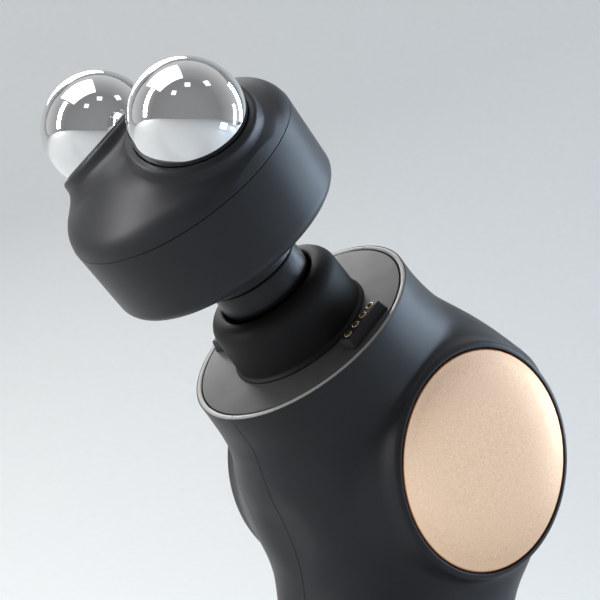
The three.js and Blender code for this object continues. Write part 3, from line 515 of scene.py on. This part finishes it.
def tongue(share):
    """A bar along the inside of the seam, on the inner or outer side of the bend. Its
    square section is carried along the outline, set in towards the body's middle."""
    count, near, far, half_width = 220, 0.55, 1.15, 0.9
    places = np.linspace(0.6, last_section - 0.1, count)
    line, _ = flank(places, np.full(count, share))
    middle_line, _ = flank(places, np.zeros(count))
    inward = unit(middle_line - line)
    section = np.array([[near, -half_width], [far, -half_width], [far, half_width],
                        [near, half_width], [near, -half_width]])
    spots = line[:, None] + inward[:, None] * section[None, :, :1]
    bar = np.stack([spots[..., 0], np.broadcast_to(section[:, 1], (count, 5)), spots[..., 1]], -1)
    return with_ends(bar)


def with_ends(rows):
    """Rows that are closed rings, with each end drawn in to the middle of its ring."""
    ends = np.repeat(rows[[0, -1], :-1].mean(1, keepdims=True), rows.shape[1], axis=1)
    return np.concatenate([ends[:1], rows, ends[1:]])


seam_tongue = put("seam_tongue", mesh_from("seam_tongue", [tongue(-1.0), tongue(1.0)]), satin)
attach(seam_tongue, "housing")


# The metal disc on the front of the elbow. It is a champagne-coloured plate, crowned a
# little and blasted with fine beads, with a thin bright edge where it was turned. It is
# bonded into its recess, and works as the skin contact for microcurrent.

def rounded(corners, steps=6):
    """A profile through [radius, height, fillet] corners. Each corner becomes the arc of
    that fillet that touches both of its sides, and a fillet of 0 leaves it sharp."""
    corners = np.asarray(corners, float)
    spot, fillet = corners[:, :2], corners[:, 2:]
    back, on = (unit(np.roll(spot, step, axis=0) - spot) for step in (1, -1))
    half = np.arccos(np.clip((back * on).sum(1, keepdims=True), -1, 1)) / 2
    centre = spot + unit(back + on) * fillet / np.sin(half)
    start = spot + back * fillet / np.tan(half) - centre
    end = spot + on * fillet / np.tan(half) - centre
    sweep = np.maximum(np.pi - 2 * half, 1e-6)[:, None]
    share = np.linspace(0, 1, steps)[None, :, None]
    turned_arc = (start[:, None] * np.sin((1 - share) * sweep)
                  + end[:, None] * np.sin(share * sweep)) / np.sin(sweep)
    return (centre[:, None] + turned_arc).reshape(-1, 2)


def turned(profile, sides=96):
    """A profile swept right round the Z axis, so that its last column is its first."""
    angle = np.linspace(0, 2 * np.pi, sides + 1)
    angle[-1] = 0
    return swept(profile, angle)


def on_face(points, side, x=0.0, z=0.0):
    """Points of a frame whose Z is the way out of a round face of the elbow, where side
    is -1 for the front and 1 for the back, placed in the part."""
    points = np.asarray(points, float)
    return np.stack([points[..., 0] + x, side * points[..., 2],
                     points[..., 1] + elbow_height + z], -1)


def piece(name, grids, paint, node, body, sharp=35.0):
    """A finished piece that stands for a CAD node and moves with its body."""
    thing = put(name, mesh_from(name, grids, sharp), paint)
    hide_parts(node)
    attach(thing, body)
    return thing


face_height = 27.0
disc_radius, disc_thickness, disc_crown, disc_edge = 22.0, 1.4, 0.5, 0.3
disc_back = face_height - disc_thickness
dome = np.linspace(0, 1, 14)
disc_face = np.stack([(disc_radius - disc_edge) * (1 - dome),
                      face_height - disc_crown * (1 - dome) ** 4], -1)
disc_profile = np.concatenate([
    rounded([[0, disc_back, 0], [disc_radius, disc_back, 0.1],
             [disc_radius, face_height - disc_crown - 0.02, 0.22],
             [disc_radius - 0.5, disc_face[0, 1], 0]]),
    disc_face[1:],
])
champagne = Paint("beaded_champagne", metallic=1.0)
from_middle = champagne.around((0, 1, 0), (0, 0, elbow_height * 0.001))
edge_band = from_middle > disc_radius - 0.28
grain = champagne.noise(0.32, 2, 0.7)
beaded = champagne.mix(grain, lit(182, 142, 110), lit(226, 192, 162))
champagne.colour(champagne.mix(edge_band, beaded, lit(176, 116, 80)))
champagne.rough(0.29 + 0.12 * grain - 0.1 * edge_band)
champagne.bump(grain + 0.5 * champagne.noise(0.9, 1), 0.35, 0.03)
piece("champagne_disc", [on_face(turned(disc_profile, 160), -1)], champagne,
      "contact_disc", "housing")


# The top of the neck. A grey moulded plate lies inside the rim, whose pale grey is a painted
# highlight, and carries two black keys that a head slots over. The front key holds four gold
# spring contacts, cups whose darker gold is painted shade, in bright rings, which stand on a
# small board below and sink a little under a head.

def cloudy(name, dark, light, clouds, rough, grain, **even):
    """A finish whose colour goes from dark to light in clouds, which are what Paint.noise
    takes. rough is a level, a spread and clouds for the spread, and grain is the strength
    and depth of the bumps and their clouds."""
    paint = Paint(name, **even)
    paint.colour(paint.mix(paint.noise(*clouds), lit(*dark), lit(*light)))
    level, spread, lumps = rough
    paint.rough(level + spread * paint.noise(*lumps))
    strength, depth, lumps = grain
    paint.bump(paint.noise(*lumps), strength, depth)
    return paint


rim_width, plate_thickness, plate_bore = 1.15, 2.4, 8.3
plate_radius = rim_radius - rim_width - 0.3
plate_profile = rounded([
    [plate_bore, -plate_thickness, 0], [plate_radius, -plate_thickness, 0.2],
    [plate_radius, 0, 0.15], [plate_bore, 0, 0], [plate_bore, -plate_thickness, 0],
])
plate_grey = cloudy("grey_plate", (61, 61, 60), (71, 71, 70), (0.5, 3, 0.6),
                    (0.42, 0.14, (6, 2)), (0.18, 0.03, (0.5, 3, 0.6)), specular=0.3)
piece("neck_plate", [in_head(turned(plate_profile, 160))], plate_grey,
      "top_plate", "housing")


def tab(length, width, corner, levels):
    """A moulded block. Its outline is a rectangle with round corners, and each level of
    [inset, height] carries that outline drawn in by the inset."""
    turn = (np.arange(4)[:, None] * 90 + np.linspace(0, 90, 7)).ravel() * np.pi / 180
    turn = np.append(turn, 2 * np.pi)
    quarter = np.repeat(np.array([[1, 1], [-1, 1], [-1, -1], [1, -1]]), 7, axis=0)
    quarter = np.concatenate([quarter, quarter[:1]])
    inset, height = np.asarray(levels, float).T
    core = np.maximum([length / 2, width / 2] - np.maximum(corner, inset)[:, None], 0)
    block = swept(np.stack([np.maximum(corner - inset, 0), height], -1), turn)
    block[..., :2] += quarter * core[:, None]
    return block


key_offset, key_length, key_width, key_height, key_corner = 19.9, 11.8, 3.9, 2.45, 0.6
key_levels = [[0, -0.9], [0, 0.05], [0.5, key_height - 0.35], [0.58, key_height - 0.12],
              [0.75, key_height], [1.2, key_height], [key_width / 2, key_height]]
jet = cloudy("jet_plastic", (26, 26, 28), (34, 34, 36),
             (0.4, 3, 0.6), (0.36, 0.12, (5, 2)), (0.14, 0.025, (0.4, 3, 0.6)), specular=0.35)
pin_pitch, pin_radius, pin_length = 2.6, 0.5, 7.0
pin_top, pin_low = key_height + 0.35, key_height + 0.35 - pin_length
pin_places = (np.arange(4) - 1.5) * pin_pitch
well = turned(rounded([
    [pin_radius + 0.62, key_height - 0.05, 0], [pin_radius + 0.5, key_height + 0.02, 0.05],
    [pin_radius + 0.25, key_height + 0.02, 0.05], [pin_radius + 0.22, key_height - 1, 0],
]), 40)
key = tab(key_length, key_width, key_corner, key_levels)
wells = [in_head(well + [x, -key_offset, 0]) for x in pin_places]
piece("front_key", [in_head(key - [0, key_offset, 0]), *wells], jet,
      "contact_block", "housing")
piece("back_key", [in_head(key + [0, key_offset, 0])], jet, "rear_key", "housing")

pin_gold = cloudy("pin_gold", (230, 208, 156), (250, 240, 206),
                  (0.6, 2), (0.2, 0.12, (0.4, 2)), (0.08, 0.01, (0.2, 2)), metallic=1.0)
# The pins are painted a dark gold: painted shade for the hollows of their cupped tops.
shade_darkened_gold = cloudy("shade_darkened_gold", (84, 66, 38), (124, 102, 62),
                   (0.5, 2), (0.3, 0.14, (0.4, 2)), (0.08, 0.01, (0.2, 2)), metallic=1.0)
pin_profile = rounded([
    [0, pin_low, 0], [pin_radius, pin_low, 0.12], [pin_radius, pin_top - 0.04, 0.1],
    [pin_radius - 0.15, pin_top, 0.05], [pin_radius - 0.26, pin_top - 0.6, 0.1],
    [0, pin_top - 0.6, 0],
])
ring_in, ring_high = pin_radius + 0.16, key_height + 0.14
eyelet = turned(rounded([
    [ring_in, key_height - 0.4, 0], [ring_in, ring_high, 0.06],
    [pin_radius + 0.32, ring_high, 0.08], [pin_radius + 0.34, key_height - 0.1, 0],
    [ring_in, key_height - 0.4, 0],
], 5), 40)
eyelets = [in_head(eyelet + [x, -key_offset, 0]) for x in pin_places]
eyelets = put("pin_eyelets", mesh_from("pin_eyelets", eyelets), pin_gold)
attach(eyelets, "housing")
for number, x in enumerate(pin_places, start=1):
    pin = in_head(turned(pin_profile, 40) + [x, -key_offset, 0])
    piece(f"spring_pin_{number}", [pin], shade_darkened_gold,
          f"contact_pin_{number}", f"pin_{number}")


# The boss round the shaft. It is black moulded plastic with a matt finish, screwed to
# the neck from inside. Its shoulder is rounded all the way round, and a narrow fillet
# meets the plate, so that nothing catches the hair or the cream.

boss_foot, bore_radius, boss_top = 14.5, 10.25, 12.0
boss_profile = rounded([
    [bore_radius, 2.5, 0], [bore_radius, boss_top, 0.7], [boss_foot - 0.3, boss_top, 3.4],
    [boss_foot, 0.9, 0.7], [boss_foot + 0.6, 0.35, 0.3], [boss_foot + 0.6, 0.02, 0],
    [bore_radius, 0.02, 0], [bore_radius, 2.5, 0],
], 9)
matt_black = cloudy("matt_black_plastic", (19, 19, 20), (24, 24, 25),
                    (7, 2), (0.5, 0.1, (9, 2)), (0.2, 0.03, (0.35, 3, 0.6)), specular=0.2)
piece("shaft_housing", [in_head(turned(boss_profile, 128))], matt_black,
      "shaft_boss", "housing")


# The shaft's collar. It is a smooth black cap pressed on the steel rod, and its reduced
# top is the spigot that a head is pushed over. It moves up and down with the drive.

collar_radius, collar_bottom, collar_top = 9.85, 10.9, 17.6
spigot_radius, spigot_length, rod_radius = 6.0, 9.4, 2.5
spigot_top = collar_top + spigot_length
groove, groove_radius, groove_width = spigot_top - 4.5, spigot_radius - 0.9, 1.6
collar_profile = rounded([
    [rod_radius + 0.3, spigot_top - 2, 0], [rod_radius + 0.3, collar_bottom, 0.3],
    [collar_radius, collar_bottom, 2.2], [collar_radius - 0.2, collar_top, 0.5],
    [spigot_radius, collar_top, 0.25], [spigot_radius, groove, 0.1], [groove_radius, groove, 0.1],
    [groove_radius, groove + groove_width, 0.1], [spigot_radius, groove + groove_width, 0.1],
    [spigot_radius, spigot_top, 0.8], [0, spigot_top, 0],
], 7)
smooth_black = cloudy("smooth_black_collar", (20, 21, 23), (27, 28, 30), (3, 2),
                      (0.34, 0.1, (2.5, 2)), (0.06, 0.02, (0.3, 2)), specular=0.3)
piece("shaft_cap", [in_head(turned(collar_profile, 128))], smooth_black,
      "shaft_collar", "shaft")


# The roller head's lower half. A dark collar ring with a fine turned edge lines the mouth
# that goes over the spigot. Above it, a charcoal cup flares out to the head's full width.

head_radius, head_seam = 25.25, 42.0
socket_bore, ring_low, ring_top = spigot_radius + 0.35, collar_top + 0.4, 21.5
ring_profile = rounded([
    [socket_bore, ring_low, 0.1], [10.15, ring_low, 0.2], [10.6, ring_top, 0.1],
    [socket_bore, ring_top, 0], [socket_bore, ring_low, 0],
])
ring_black = cloudy("ring_black", (22, 22, 24), (29, 29, 31),
                    (1.2, 2), (0.34, 0.1, (1.2, 2)), (0.1, 0.02, (0.25, 2)), specular=0.3)
piece("mouth_ring", [in_head(turned(ring_profile, 128))], ring_black,
      "collar_ring", "head")

cup_inside, cup_edge = head_radius - 2.3, head_seam - 0.06
cup_foot, cup_flare, socket_roof, cup_floor = 21.8, 25.1, 27.6, 29.6
cup_profile = rounded([
    [0, socket_roof, 0], [socket_bore, socket_roof, 0], [socket_bore, cup_foot, 0.2],
    [9.9, cup_foot, 0.3], [14, cup_flare, 1.5], [head_radius - 0.55, cup_flare, 2.8],
    [head_radius, cup_edge, 0.08], [cup_inside, cup_edge, 0], [cup_inside, 36.2, 0],
    [9, 27.1, 0], [9, cup_floor, 0], [0, cup_floor, 0],
], 9)
head_satin = Paint("head_satin", specular=0.28)
head_satin.colour(head_satin.mix(head_satin.noise(8, 3), lit(34, 35, 38), lit(40, 41, 45)))
head_satin.rough(0.38 + 0.08 * head_satin.noise(12, 2))
head_satin.bump(head_satin.noise(0.22, 2) + 0.4 * head_satin.noise(0.7, 1), 0.16, 0.03)
piece("head_cup", [in_head(turned(cup_profile, 160))], head_satin, "head_base", "head")


# The roller head's cap. It is one charcoal moulding: a round wall, a crown, and two
# flat falls that lean outwards and carry a raised seat for each ball. It snaps into the
# cup, and its sockets keep the balls.

ball_radius, ball_spread, ball_height, ball_sink = 11.37, 14.06, 54.8, 1.9
ball_lean = math.radians(22)
seat_radius = math.sqrt(ball_radius ** 2 - ball_sink ** 2)
roof_height = 55.6


def ball_to_head(points, side):
    """Points of a ball's own frame, whose Z is its axle, in the head's frame. The axle
    leans away from the middle of the head, and side is -1 for the front ball."""
    x, y, z = np.moveaxis(np.asarray(points, float), -1, 0)
    c, s = math.cos(ball_lean), math.sin(ball_lean)
    return np.stack([x, side * ball_spread + y * c + side * z * s,
                     ball_height - side * y * s + z * c], -1)


def head_to_ball(points, side):
    """Points of the head's frame seen from a ball's own frame."""
    x, y, z = np.moveaxis(points, -1, 0)
    c, s = math.cos(ball_lean), math.sin(ball_lean)
    y, z = y - side * ball_spread, z - ball_height
    return np.stack([x, y * c - side * z * s, side * y * s + z * c], -1)


def cap_level(points):
    """Height over the cap's skin. The skin is the lower of a crowned barrel and a ridged
    roof, joined by fillets to the higher of two seats, and kept inside the wall."""
    x, y, z = np.moveaxis(points, -1, 0)
    out = np.hypot(x, y)
    crown = (z - roof_height + 0.4 + 0.0165 * out ** 2) / np.sqrt(1 + (0.033 * out) ** 2)
    barrel = soft_max(out - head_radius, crown, 2.6)
    fall = np.where(np.abs(y) < 4, 2 + y ** 2 / 8, np.abs(y)) * math.tan(ball_lean)
    skin = soft_max(barrel, (z - roof_height + fall) * math.cos(ball_lean), 1.6)
    for side in (-1, 1):
        x, y, z = np.moveaxis(head_to_ball(points, side), -1, 0)
        flare = np.interp(z, [-14, -6.3, -4.3, -2.7, -1.9], [4.4, 3.2, 2.1, 1.75, 1.6])
        seat = soft_max(np.hypot(x, y) - seat_radius - flare, z + ball_sink, 0.9)
        skin = -soft_max(-skin, -seat, 2.0)
    return np.maximum(skin, out - head_radius)


def reach(start, way):
    """Where rays from an inner point meet the cap's skin, by halving."""
    near, far = np.zeros(way.shape[:-1]), np.full(way.shape[:-1], 45.0)
    way = unit(way)
    for _ in range(34):
        middle = (near + far) / 2
        outside = cap_level(start + way * middle[..., None]) > 0
        near, far = np.where(outside, near, middle), np.where(outside, middle, far)
    return start + way * near[..., None]


core_height, half_ring = 38.0, 97
wall_low = head_seam + 0.14
rise = math.atan2(wall_low - core_height, head_radius)
ridge_turn = np.linspace(rise, np.pi - rise, 81)
ridge = reach(np.array([0, 0, core_height]),
              np.stack([np.cos(ridge_turn), 0 * ridge_turn, np.sin(ridge_turn)], -1))
ridge[[0, -1]] = [[head_radius, 0, wall_low], [-head_radius, 0, wall_low]]
seat_profile = [[10.45, -5], [11, -3.8], [11.3, -2.6], [11.3, -2.05], [11.38, -1.93],
                [11.55, -1.9]]
hem_profile = [[head_radius, wall_low], [head_radius - 0.02, wall_low - 0.05],
               [head_radius - 0.1, wall_low - 0.08], [head_radius - 2, wall_low - 0.08]]
cap_grids = []
for side in (-1, 1):
    hem = swept(hem_profile, np.linspace(np.pi, 0, half_ring)) * [1, side, 1]
    hem[:, [0, -1], 1] = 0
    edge = np.concatenate([ridge, hem[0, 1:]])
    seen_flat = head_to_ball(edge, side)
    seat = ball_to_head(swept(seat_profile, np.arctan2(seen_flat[:, 1], seen_flat[:, 0])), side)
    step = np.linspace(0, 1, 64)[:, None, None] ** 1.35
    core = np.array([0, side * 10.0, core_height])
    skin = reach(core, seat[-1] + (edge - seat[-1]) * step - core)
    skin[0], skin[-1] = seat[-1], edge
    cap_grids += [in_head(seat), in_head(skin), in_head(hem)]
piece("head_moulding", cap_grids, head_satin, "head_cap", "head", 60)


# The two roller balls. They are cast, polished and chromed, and each runs free on a
# steel axle that stands in the head.

axle_radius, axle_high = 1.5, 4.0
arc_turn = np.linspace(-np.pi / 2 + math.asin((axle_radius + 0.35) / ball_radius), np.pi / 2, 72)
ball_profile = np.concatenate([
    [[0, axle_high + 0.3], [axle_radius + 0.35, axle_high + 0.3]],
    ball_radius * np.stack([np.cos(arc_turn), np.sin(arc_turn)], -1),
])
ball_profile[-1, 0] = 0
chrome = cloudy("polished_chrome", (226, 228, 230), (238, 239, 240),
                (3, 3, 0.6), (0.03, 0.03, (3, 3, 0.6)), (0.02, 0.02, (5, 1)), metallic=1.0)
for name, side, node, body in (("front_roller", -1, "roller_front", "front_ball"),
                               ("back_roller", 1, "roller_back", "back_ball")):
    ball = in_head(ball_to_head(turned(ball_profile, 144), side))
    piece(name, [ball], chrome, node, body, 60)


# The control side. A black disc of moulded plastic closes the round face at the back. It
# clips on its ledge round three keys, and carries three small ports for the light guide
# that shows the level.

def circle(radius, x=0.0, y=0.0, count=48):
    """A ring of points on a circle round x, y."""
    turn = np.arange(count) * 2 * np.pi / count
    return np.stack([x + radius * np.cos(turn), y + radius * np.sin(turn)], -1)


def pierced(outline, holes, height):
    """A flat sheet at that height, inside an outline and outside its holes, which are
    rings of [x, y]. It is cut into triangles, each a grid with two of its corners as one."""
    rings = [[Vector((*spot, height)) for spot in ring] for ring in (outline, *holes)]
    corners = np.array([spot for ring in rings for spot in ring])
    return corners[np.array(tessellate_polygon(rings))[:, [[0, 1], [2, 2]]]]


key_pitch, power_key, side_key, key_play = 11.0, 5.0, 3.6, 0.35
panel_low = face_height - 1.7
light_ring, light_radius, light_play = 17.6, 0.8, 0.3
light_turns = np.radians([75, 90, 105])
light_spots = light_ring * np.stack([np.cos(light_turns), np.sin(light_turns)], -1)
openings = [(power_key + key_play, 0, 0), (side_key + key_play, 0, key_pitch),
            (side_key + key_play, 0, -key_pitch),
            *((light_radius + light_play, x, z) for x, z in light_spots)]
panel_rim = turned([[disc_radius, panel_low], [disc_radius, face_height - 0.25],
                    [disc_radius - 0.07, face_height - 0.08],
                    [disc_radius - 0.25, face_height]], 160)
panel_walls = [turned([[radius + 0.12, face_height], [radius + 0.03, face_height - 0.04],
                       [radius, face_height - 0.14], [radius, panel_low]], 48) + [x, z, 0]
               for radius, x, z in openings]
panel_top = pierced(circle(disc_radius - 0.25, count=160),
                    [circle(radius + 0.12, x, z) for radius, x, z in openings], face_height)
panel_back = pierced(circle(disc_radius, count=160),
                     [circle(radius, x, z) for radius, x, z in openings], panel_low)
panel_black = cloudy("panel_black", (22, 22, 24), (29, 29, 31),
                     (0.5, 3, 0.6), (0.26, 0.1, (6, 2)), (0.08, 0.02, (0.25, 2)), specular=0.45)
panel_grids = [on_face(grid, 1) for grid in (panel_rim, *panel_walls, panel_top, panel_back)]
piece("control_face", panel_grids, panel_black, "control_panel", "housing", 8)


# The keys. Each is a dished cap on a stem, moulded in charcoal plastic with a flange that
# keeps it under the panel. Its sign is printed: a broken ring to switch on, a cross for
# the strength and a small ring for the mode.

key_foot, flange_low, flange_top, flange_width, stem_radius = 22.7, 24.2, 25.0, 1.2, 2.4


def key_profile(radius):
    """Half the section of a key, from the foot of its stem over the flange to the cap."""
    return rounded([
        [0, key_foot, 0], [stem_radius, key_foot, 0.2], [stem_radius, flange_low, 0.2],
        [radius + flange_width, flange_low, 0.1], [radius + flange_width, flange_top, 0.1],
        [radius, flange_top, 0.1], [radius, face_height + 0.2, 0.35],
        [radius * 0.75, face_height + 0.1, 2], [0, face_height + 0.05, 0],
    ], 7)


line_half = 0.16
for name, node, radius, z in (("power_key", "power_button", power_key, 0),
                              ("strength_key", "intensity_button", side_key, key_pitch),
                              ("mode_key", "mode_button", side_key, -key_pitch)):
    finish = Paint(name + "_grey", specular=0.4)
    centre = (0, 0, (elbow_height + z) * 0.001)
    out = finish.around((0, 1, 0), centre)
    wide, tall = finish.along((1, 0, 0), centre), finish.along((0, 0, 1), centre)
    upright = abs(wide) < line_half
    if name == "power_key":
        broken = (abs(out - 1.5) < line_half) * (1 - (abs(wide) < 0.5) * (tall > 0))
        sign = broken + upright * (abs(tall - 1.3) < 0.8)
    elif name == "strength_key":
        sign = upright * (abs(tall) < 1) + (abs(tall) < line_half) * (abs(wide) < 1)
    else:
        sign = abs(out - 0.85) < line_half
    tone = finish.mix(finish.noise(3, 3), lit(44, 45, 48), lit(52, 53, 57))
    finish.colour(finish.mix(sign, tone, lit(186, 187, 188)))
    finish.rough(0.42 + 0.1 * finish.noise(4, 2) - 0.08 * sign)
    finish.bump(finish.noise(0.22, 2), 0.14, 0.03)
    piece(name, [on_face(turned(key_profile(radius), 72), 1, 0, z)], finish, node, node)


# The light guide. It is one milky moulding under the panel: a curved strip over three
# lamps on the board, with a short rod up to each port, flush with the face.

strip_low, strip_high, strip_in, strip_out, rod_low = 23.9, 24.7, 16.8, 18.4, 24.3
rod = turned(rounded([[0, rod_low, 0], [light_radius, rod_low, 0],
                      [light_radius, face_height, 0.12], [0, face_height, 0]], 5), 32)
strip_turn = np.pi / 2 + np.radians(np.linspace(-22, 22, 25))
strip_section = [[strip_in, strip_low], [strip_out, strip_low], [strip_out, strip_high],
                 [strip_in, strip_high], [strip_in, strip_low]]
strip = with_ends(swept(strip_section, strip_turn).swapaxes(0, 1))
milky = cloudy("milky_guide", (206, 208, 204), (226, 228, 224), (0.8, 3),
               (0.3, 0.12, (1.5, 2)), (0.08, 0.02, (0.3, 2)), **{"Coat Weight": 0.2})
piece("light_guide", [on_face(strip, 1), *(on_face(rod, 1, x, z) for x, z in light_spots)], milky,
      "level_lights", "housing")


# The foot. A moulded plate closes the bottom of the grip, held by two cross-head screws.
# Between them two gold-plated pads lie in shallow wells and touch the charging stand.

def oval(half_width, half_depth, height):
    """A ring on the grip's outline, a rounded oval, at that height."""
    round_ring = circle(1, count=96)
    ring = [half_width, half_depth] * np.sign(round_ring) * np.abs(round_ring) ** (2 / oval_power)
    return np.column_stack([ring, np.full(len(ring), height)])


foot_width, foot_depth, foot_thickness = 15.2, 14.2, 2.4
pad_x, pad_radius, pad_low, pad_high = 6.5, 2.6, 0.2, 1.0
screw_y, screw_radius, screw_head, screw_low, screw_end = 7.0, 0.9, 1.9, 0.2, 6.0
play = 0.3
foot_side = np.stack([oval(foot_width - inset, foot_depth - inset, height) for inset, height in
                      ((0.3, 0), (0.08, 0.08), (0, 0.3), (0, foot_thickness))])
foot_side = np.concatenate([foot_side, foot_side[:, :1]], axis=1)
wells = [(pad_radius + play, pad_high + play, x, 0) for x in (-pad_x, pad_x)]
wells += [(screw_head + play, 0.9 + play, 0, y) for y in (-screw_y, screw_y)]
foot_grids = [foot_side,
              pierced(foot_side[0, :-1, :2], [circle(r + 0.1, x, y) for r, _, x, y in wells], 0),
              pierced(foot_side[-1, :-1, :2], [], foot_thickness)]
foot_grids += [turned([[r + 0.1, 0], [r, 0.1], [r, deep], [0, deep]], 48) + [x, y, 0]
               for r, deep, x, y in wells]
foot_satin = cloudy("foot_satin", (38, 39, 42), (46, 47, 50),
                    (7, 3), (0.48, 0.1, (10, 2)), (0.2, 0.04, (0.3, 2)), specular=0.4)
piece("foot_plate", foot_grids, foot_satin, "base_cap", "housing", 30)

pad_profile = rounded([[0, pad_low + 0.03, 0], [pad_radius, pad_low, 0.2],
                       [pad_radius, pad_high, 0.1], [0, pad_high, 0]])
for name, x in (("left", -pad_x), ("right", pad_x)):
    piece(f"charging_pad_{name}", [turned(pad_profile, 64) + [x, 0, 0]], pin_gold,
          f"charge_pad_{name}", "housing")


def cross(arm, half):
    """The outline of a cross of two slots, in twelve points."""
    quarter = np.array([[half, arm], [half, half], [arm, half]])
    turns = [np.array([[c, s], [-s, c]]) for c, s in ((1, 0), (0, -1), (-1, 0), (0, 1))]
    return np.concatenate([quarter @ turn for turn in turns])


def cross_screw(y):
    """A screw whose head looks down: its turned flank, and a tapered cross in the head."""
    rim, under_head = screw_head - 0.3, screw_low + 0.7
    levels = ((1.15, 0.3, screw_low), (1.0, 0.24, screw_low + 0.25), (0.7, 0.2, screw_low + 0.6))
    recess = np.stack([np.column_stack([cross(arm, half), np.full(12, z)])
                       for arm, half, z in levels])
    recess = np.concatenate([recess, recess[:, :1]], axis=1)
    outside = [[rim, screw_low], [screw_head - 0.1, screw_low + 0.08],
               [screw_head, screw_low + 0.3], [screw_head, under_head], [screw_radius, under_head],
               [screw_radius, screw_end - 0.4], [screw_radius - 0.4, screw_end], [0, screw_end]]
    grids = (turned(outside, 48), recess, pierced(circle(rim), [recess[0, :-1, :2]], screw_low),
             pierced(recess[-1, :-1, :2], [], levels[-1][2]))
    return [grid + [0, y, 0] for grid in grids]


plated = cloudy("plated_steel", (158, 160, 164), (190, 192, 195),
                (0.8, 3, 0.6), (0.28, 0.14, (0.6, 2)), (0.1, 0.02, (0.3, 2)), metallic=1.0)
for name, y in (("front", -screw_y), ("back", screw_y)):
    piece(f"foot_screw_{name}", cross_screw(y), plated,
          f"base_screw_{name}", "housing", 25)


# The drive. A motor in a plated steel can turns a crank, whose pin runs in the slot of a
# nylon yoke, and so strokes the ground steel rod through its bronze bushing and seal.

def dress(paint, *nodes):
    """Gives that finish to CAD nodes that keep their own shape."""
    for node in nodes:
        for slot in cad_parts[node].material_slots:
            slot.link = "OBJECT"
            slot.material = paint.material


# Turned metal has fine marks, a wave over the distance from its axis.
for name, dark, light, size, axis, through, pitch, level, spread, strength, depth, nodes in (
        ("motor_steel", (168, 170, 173), (196, 198, 200), 5, (0, 1, 0),
         (0, 0, elbow_height * 0.001), 0.5, 0.3, 0.05, 0.1, 0.02, ("motor_can",)),
        ("ground_steel", (176, 178, 181), (206, 208, 210), 2, tuple(head_axis),
         tuple(head_foot * 0.001), 0.3, 0.18, 0.04, 0.06, 0.01,
         ("shaft_rod", "motor_shaft", "crank_disc", "roller_axle_front", "roller_axle_back"))):
    steel = Paint(name, metallic=1.0)
    wave = steel.node("Math", {"operation": "SINE"},
                      {0: steel.around(axis, through) * (2 * math.pi / pitch)})
    marks = wave + 0.6 * steel.noise(0.5, 2)
    steel.colour(steel.mix(steel.noise(size, 3), lit(*dark), lit(*light)))
    steel.rough(level + spread * marks)
    steel.bump(marks, strength, depth)
    dress(steel, *nodes)
dress(plated, "case_screw_outer", "case_screw_inner")
pores = (0.25, 3, 0.7)
dress(cloudy("oiled_bronze", (134, 98, 52), (184, 148, 88), pores, (0.32, 0.2, pores),
             (0.25, 0.03, pores), metallic=1.0), "shaft_bushing")
dress(cloudy("black_rubber", (20, 20, 20), (30, 30, 30), (0.6, 3), (0.7, 0.15, (1, 2)),
             (0.2, 0.03, (0.2, 2)), specular=0.3), "shaft_seal", "spigot_ring")
dress(cloudy("natural_nylon", (214, 211, 200), (230, 228, 220), (4, 3), (0.4, 0.12, (2, 2)),
             (0.12, 0.03, (0.4, 2)), **{"Subsurface Weight": 0.1}), "shaft_yoke")


# What the housing and the head hold. A moulded frame carries the motor and the battery,
# a plate of the same grey plastic carries the balls' axles, and the boards are green.

fibres = (0.4, 4, 0.7)
dress(cloudy("frame_grey", (80, 83, 87), (98, 101, 105), fibres, (0.52, 0.16, fibres),
             (0.2, 0.04, fibres), specular=0.4), "inner_frame", "roller_carrier")
sleeve = Paint("cell_sleeve", **{"Coat Weight": 0.3, "Coat Roughness": 0.2})
cell_height, sleeve_low, sleeve_high = sleeve.along((0, 0, 1)), 8.6, 55
shrunk = (cell_height > sleeve_low) * (cell_height < sleeve_high)
sleeve.colour(sleeve.mix(shrunk, lit(184, 186, 188),
                         sleeve.mix(sleeve.noise(3, 3), lit(36, 88, 148), lit(52, 106, 168))))
sleeve.feed(sleeve.shader.inputs["Metallic"], 1 - shrunk)
sleeve.rough(0.3 + 0.12 * sleeve.noise(2, 2))
sleeve.bump(sleeve.noise(1.5, 3), 0.1, 0.04)
dress(sleeve, "battery")

# A board is green with fainter tracks. What stands higher than face along the axis is a
# part soldered to it, and has that other colour.
for name, node, axis, face, parts, parts_rough in (
        ("main_board_green", "main_board", (1, 0, 0), 11.65, lit(32, 32, 34), 0.1),
        ("key_board_green", "switch_board", (0, 1, 0), 21.33, lit(190, 192, 194), -0.1),
        ("pin_board_green", "connector_board", (1, 0, 0), 99, lit(190, 192, 194), 0)):
    board = Paint(name)
    tracks = board.node("TexBrick", {"offset": 0.5},
                        {"Vector": board.where, "Scale": 420.0, "Mortar Size": 0.03}, out="Fac")
    green = board.mix(board.noise(2, 3), lit(24, 76, 48), lit(32, 90, 58))
    green = board.mix(tracks * 0.6, green, lit(70, 128, 88))
    part = board.along(axis) > face
    board.colour(board.mix(part, green, parts))
    board.rough(0.34 + parts_rough * part + 0.1 * board.noise(1, 2))
    board.bump(tracks + 0.5 * board.noise(0.3, 2), 0.15, 0.03)
    dress(board, node)
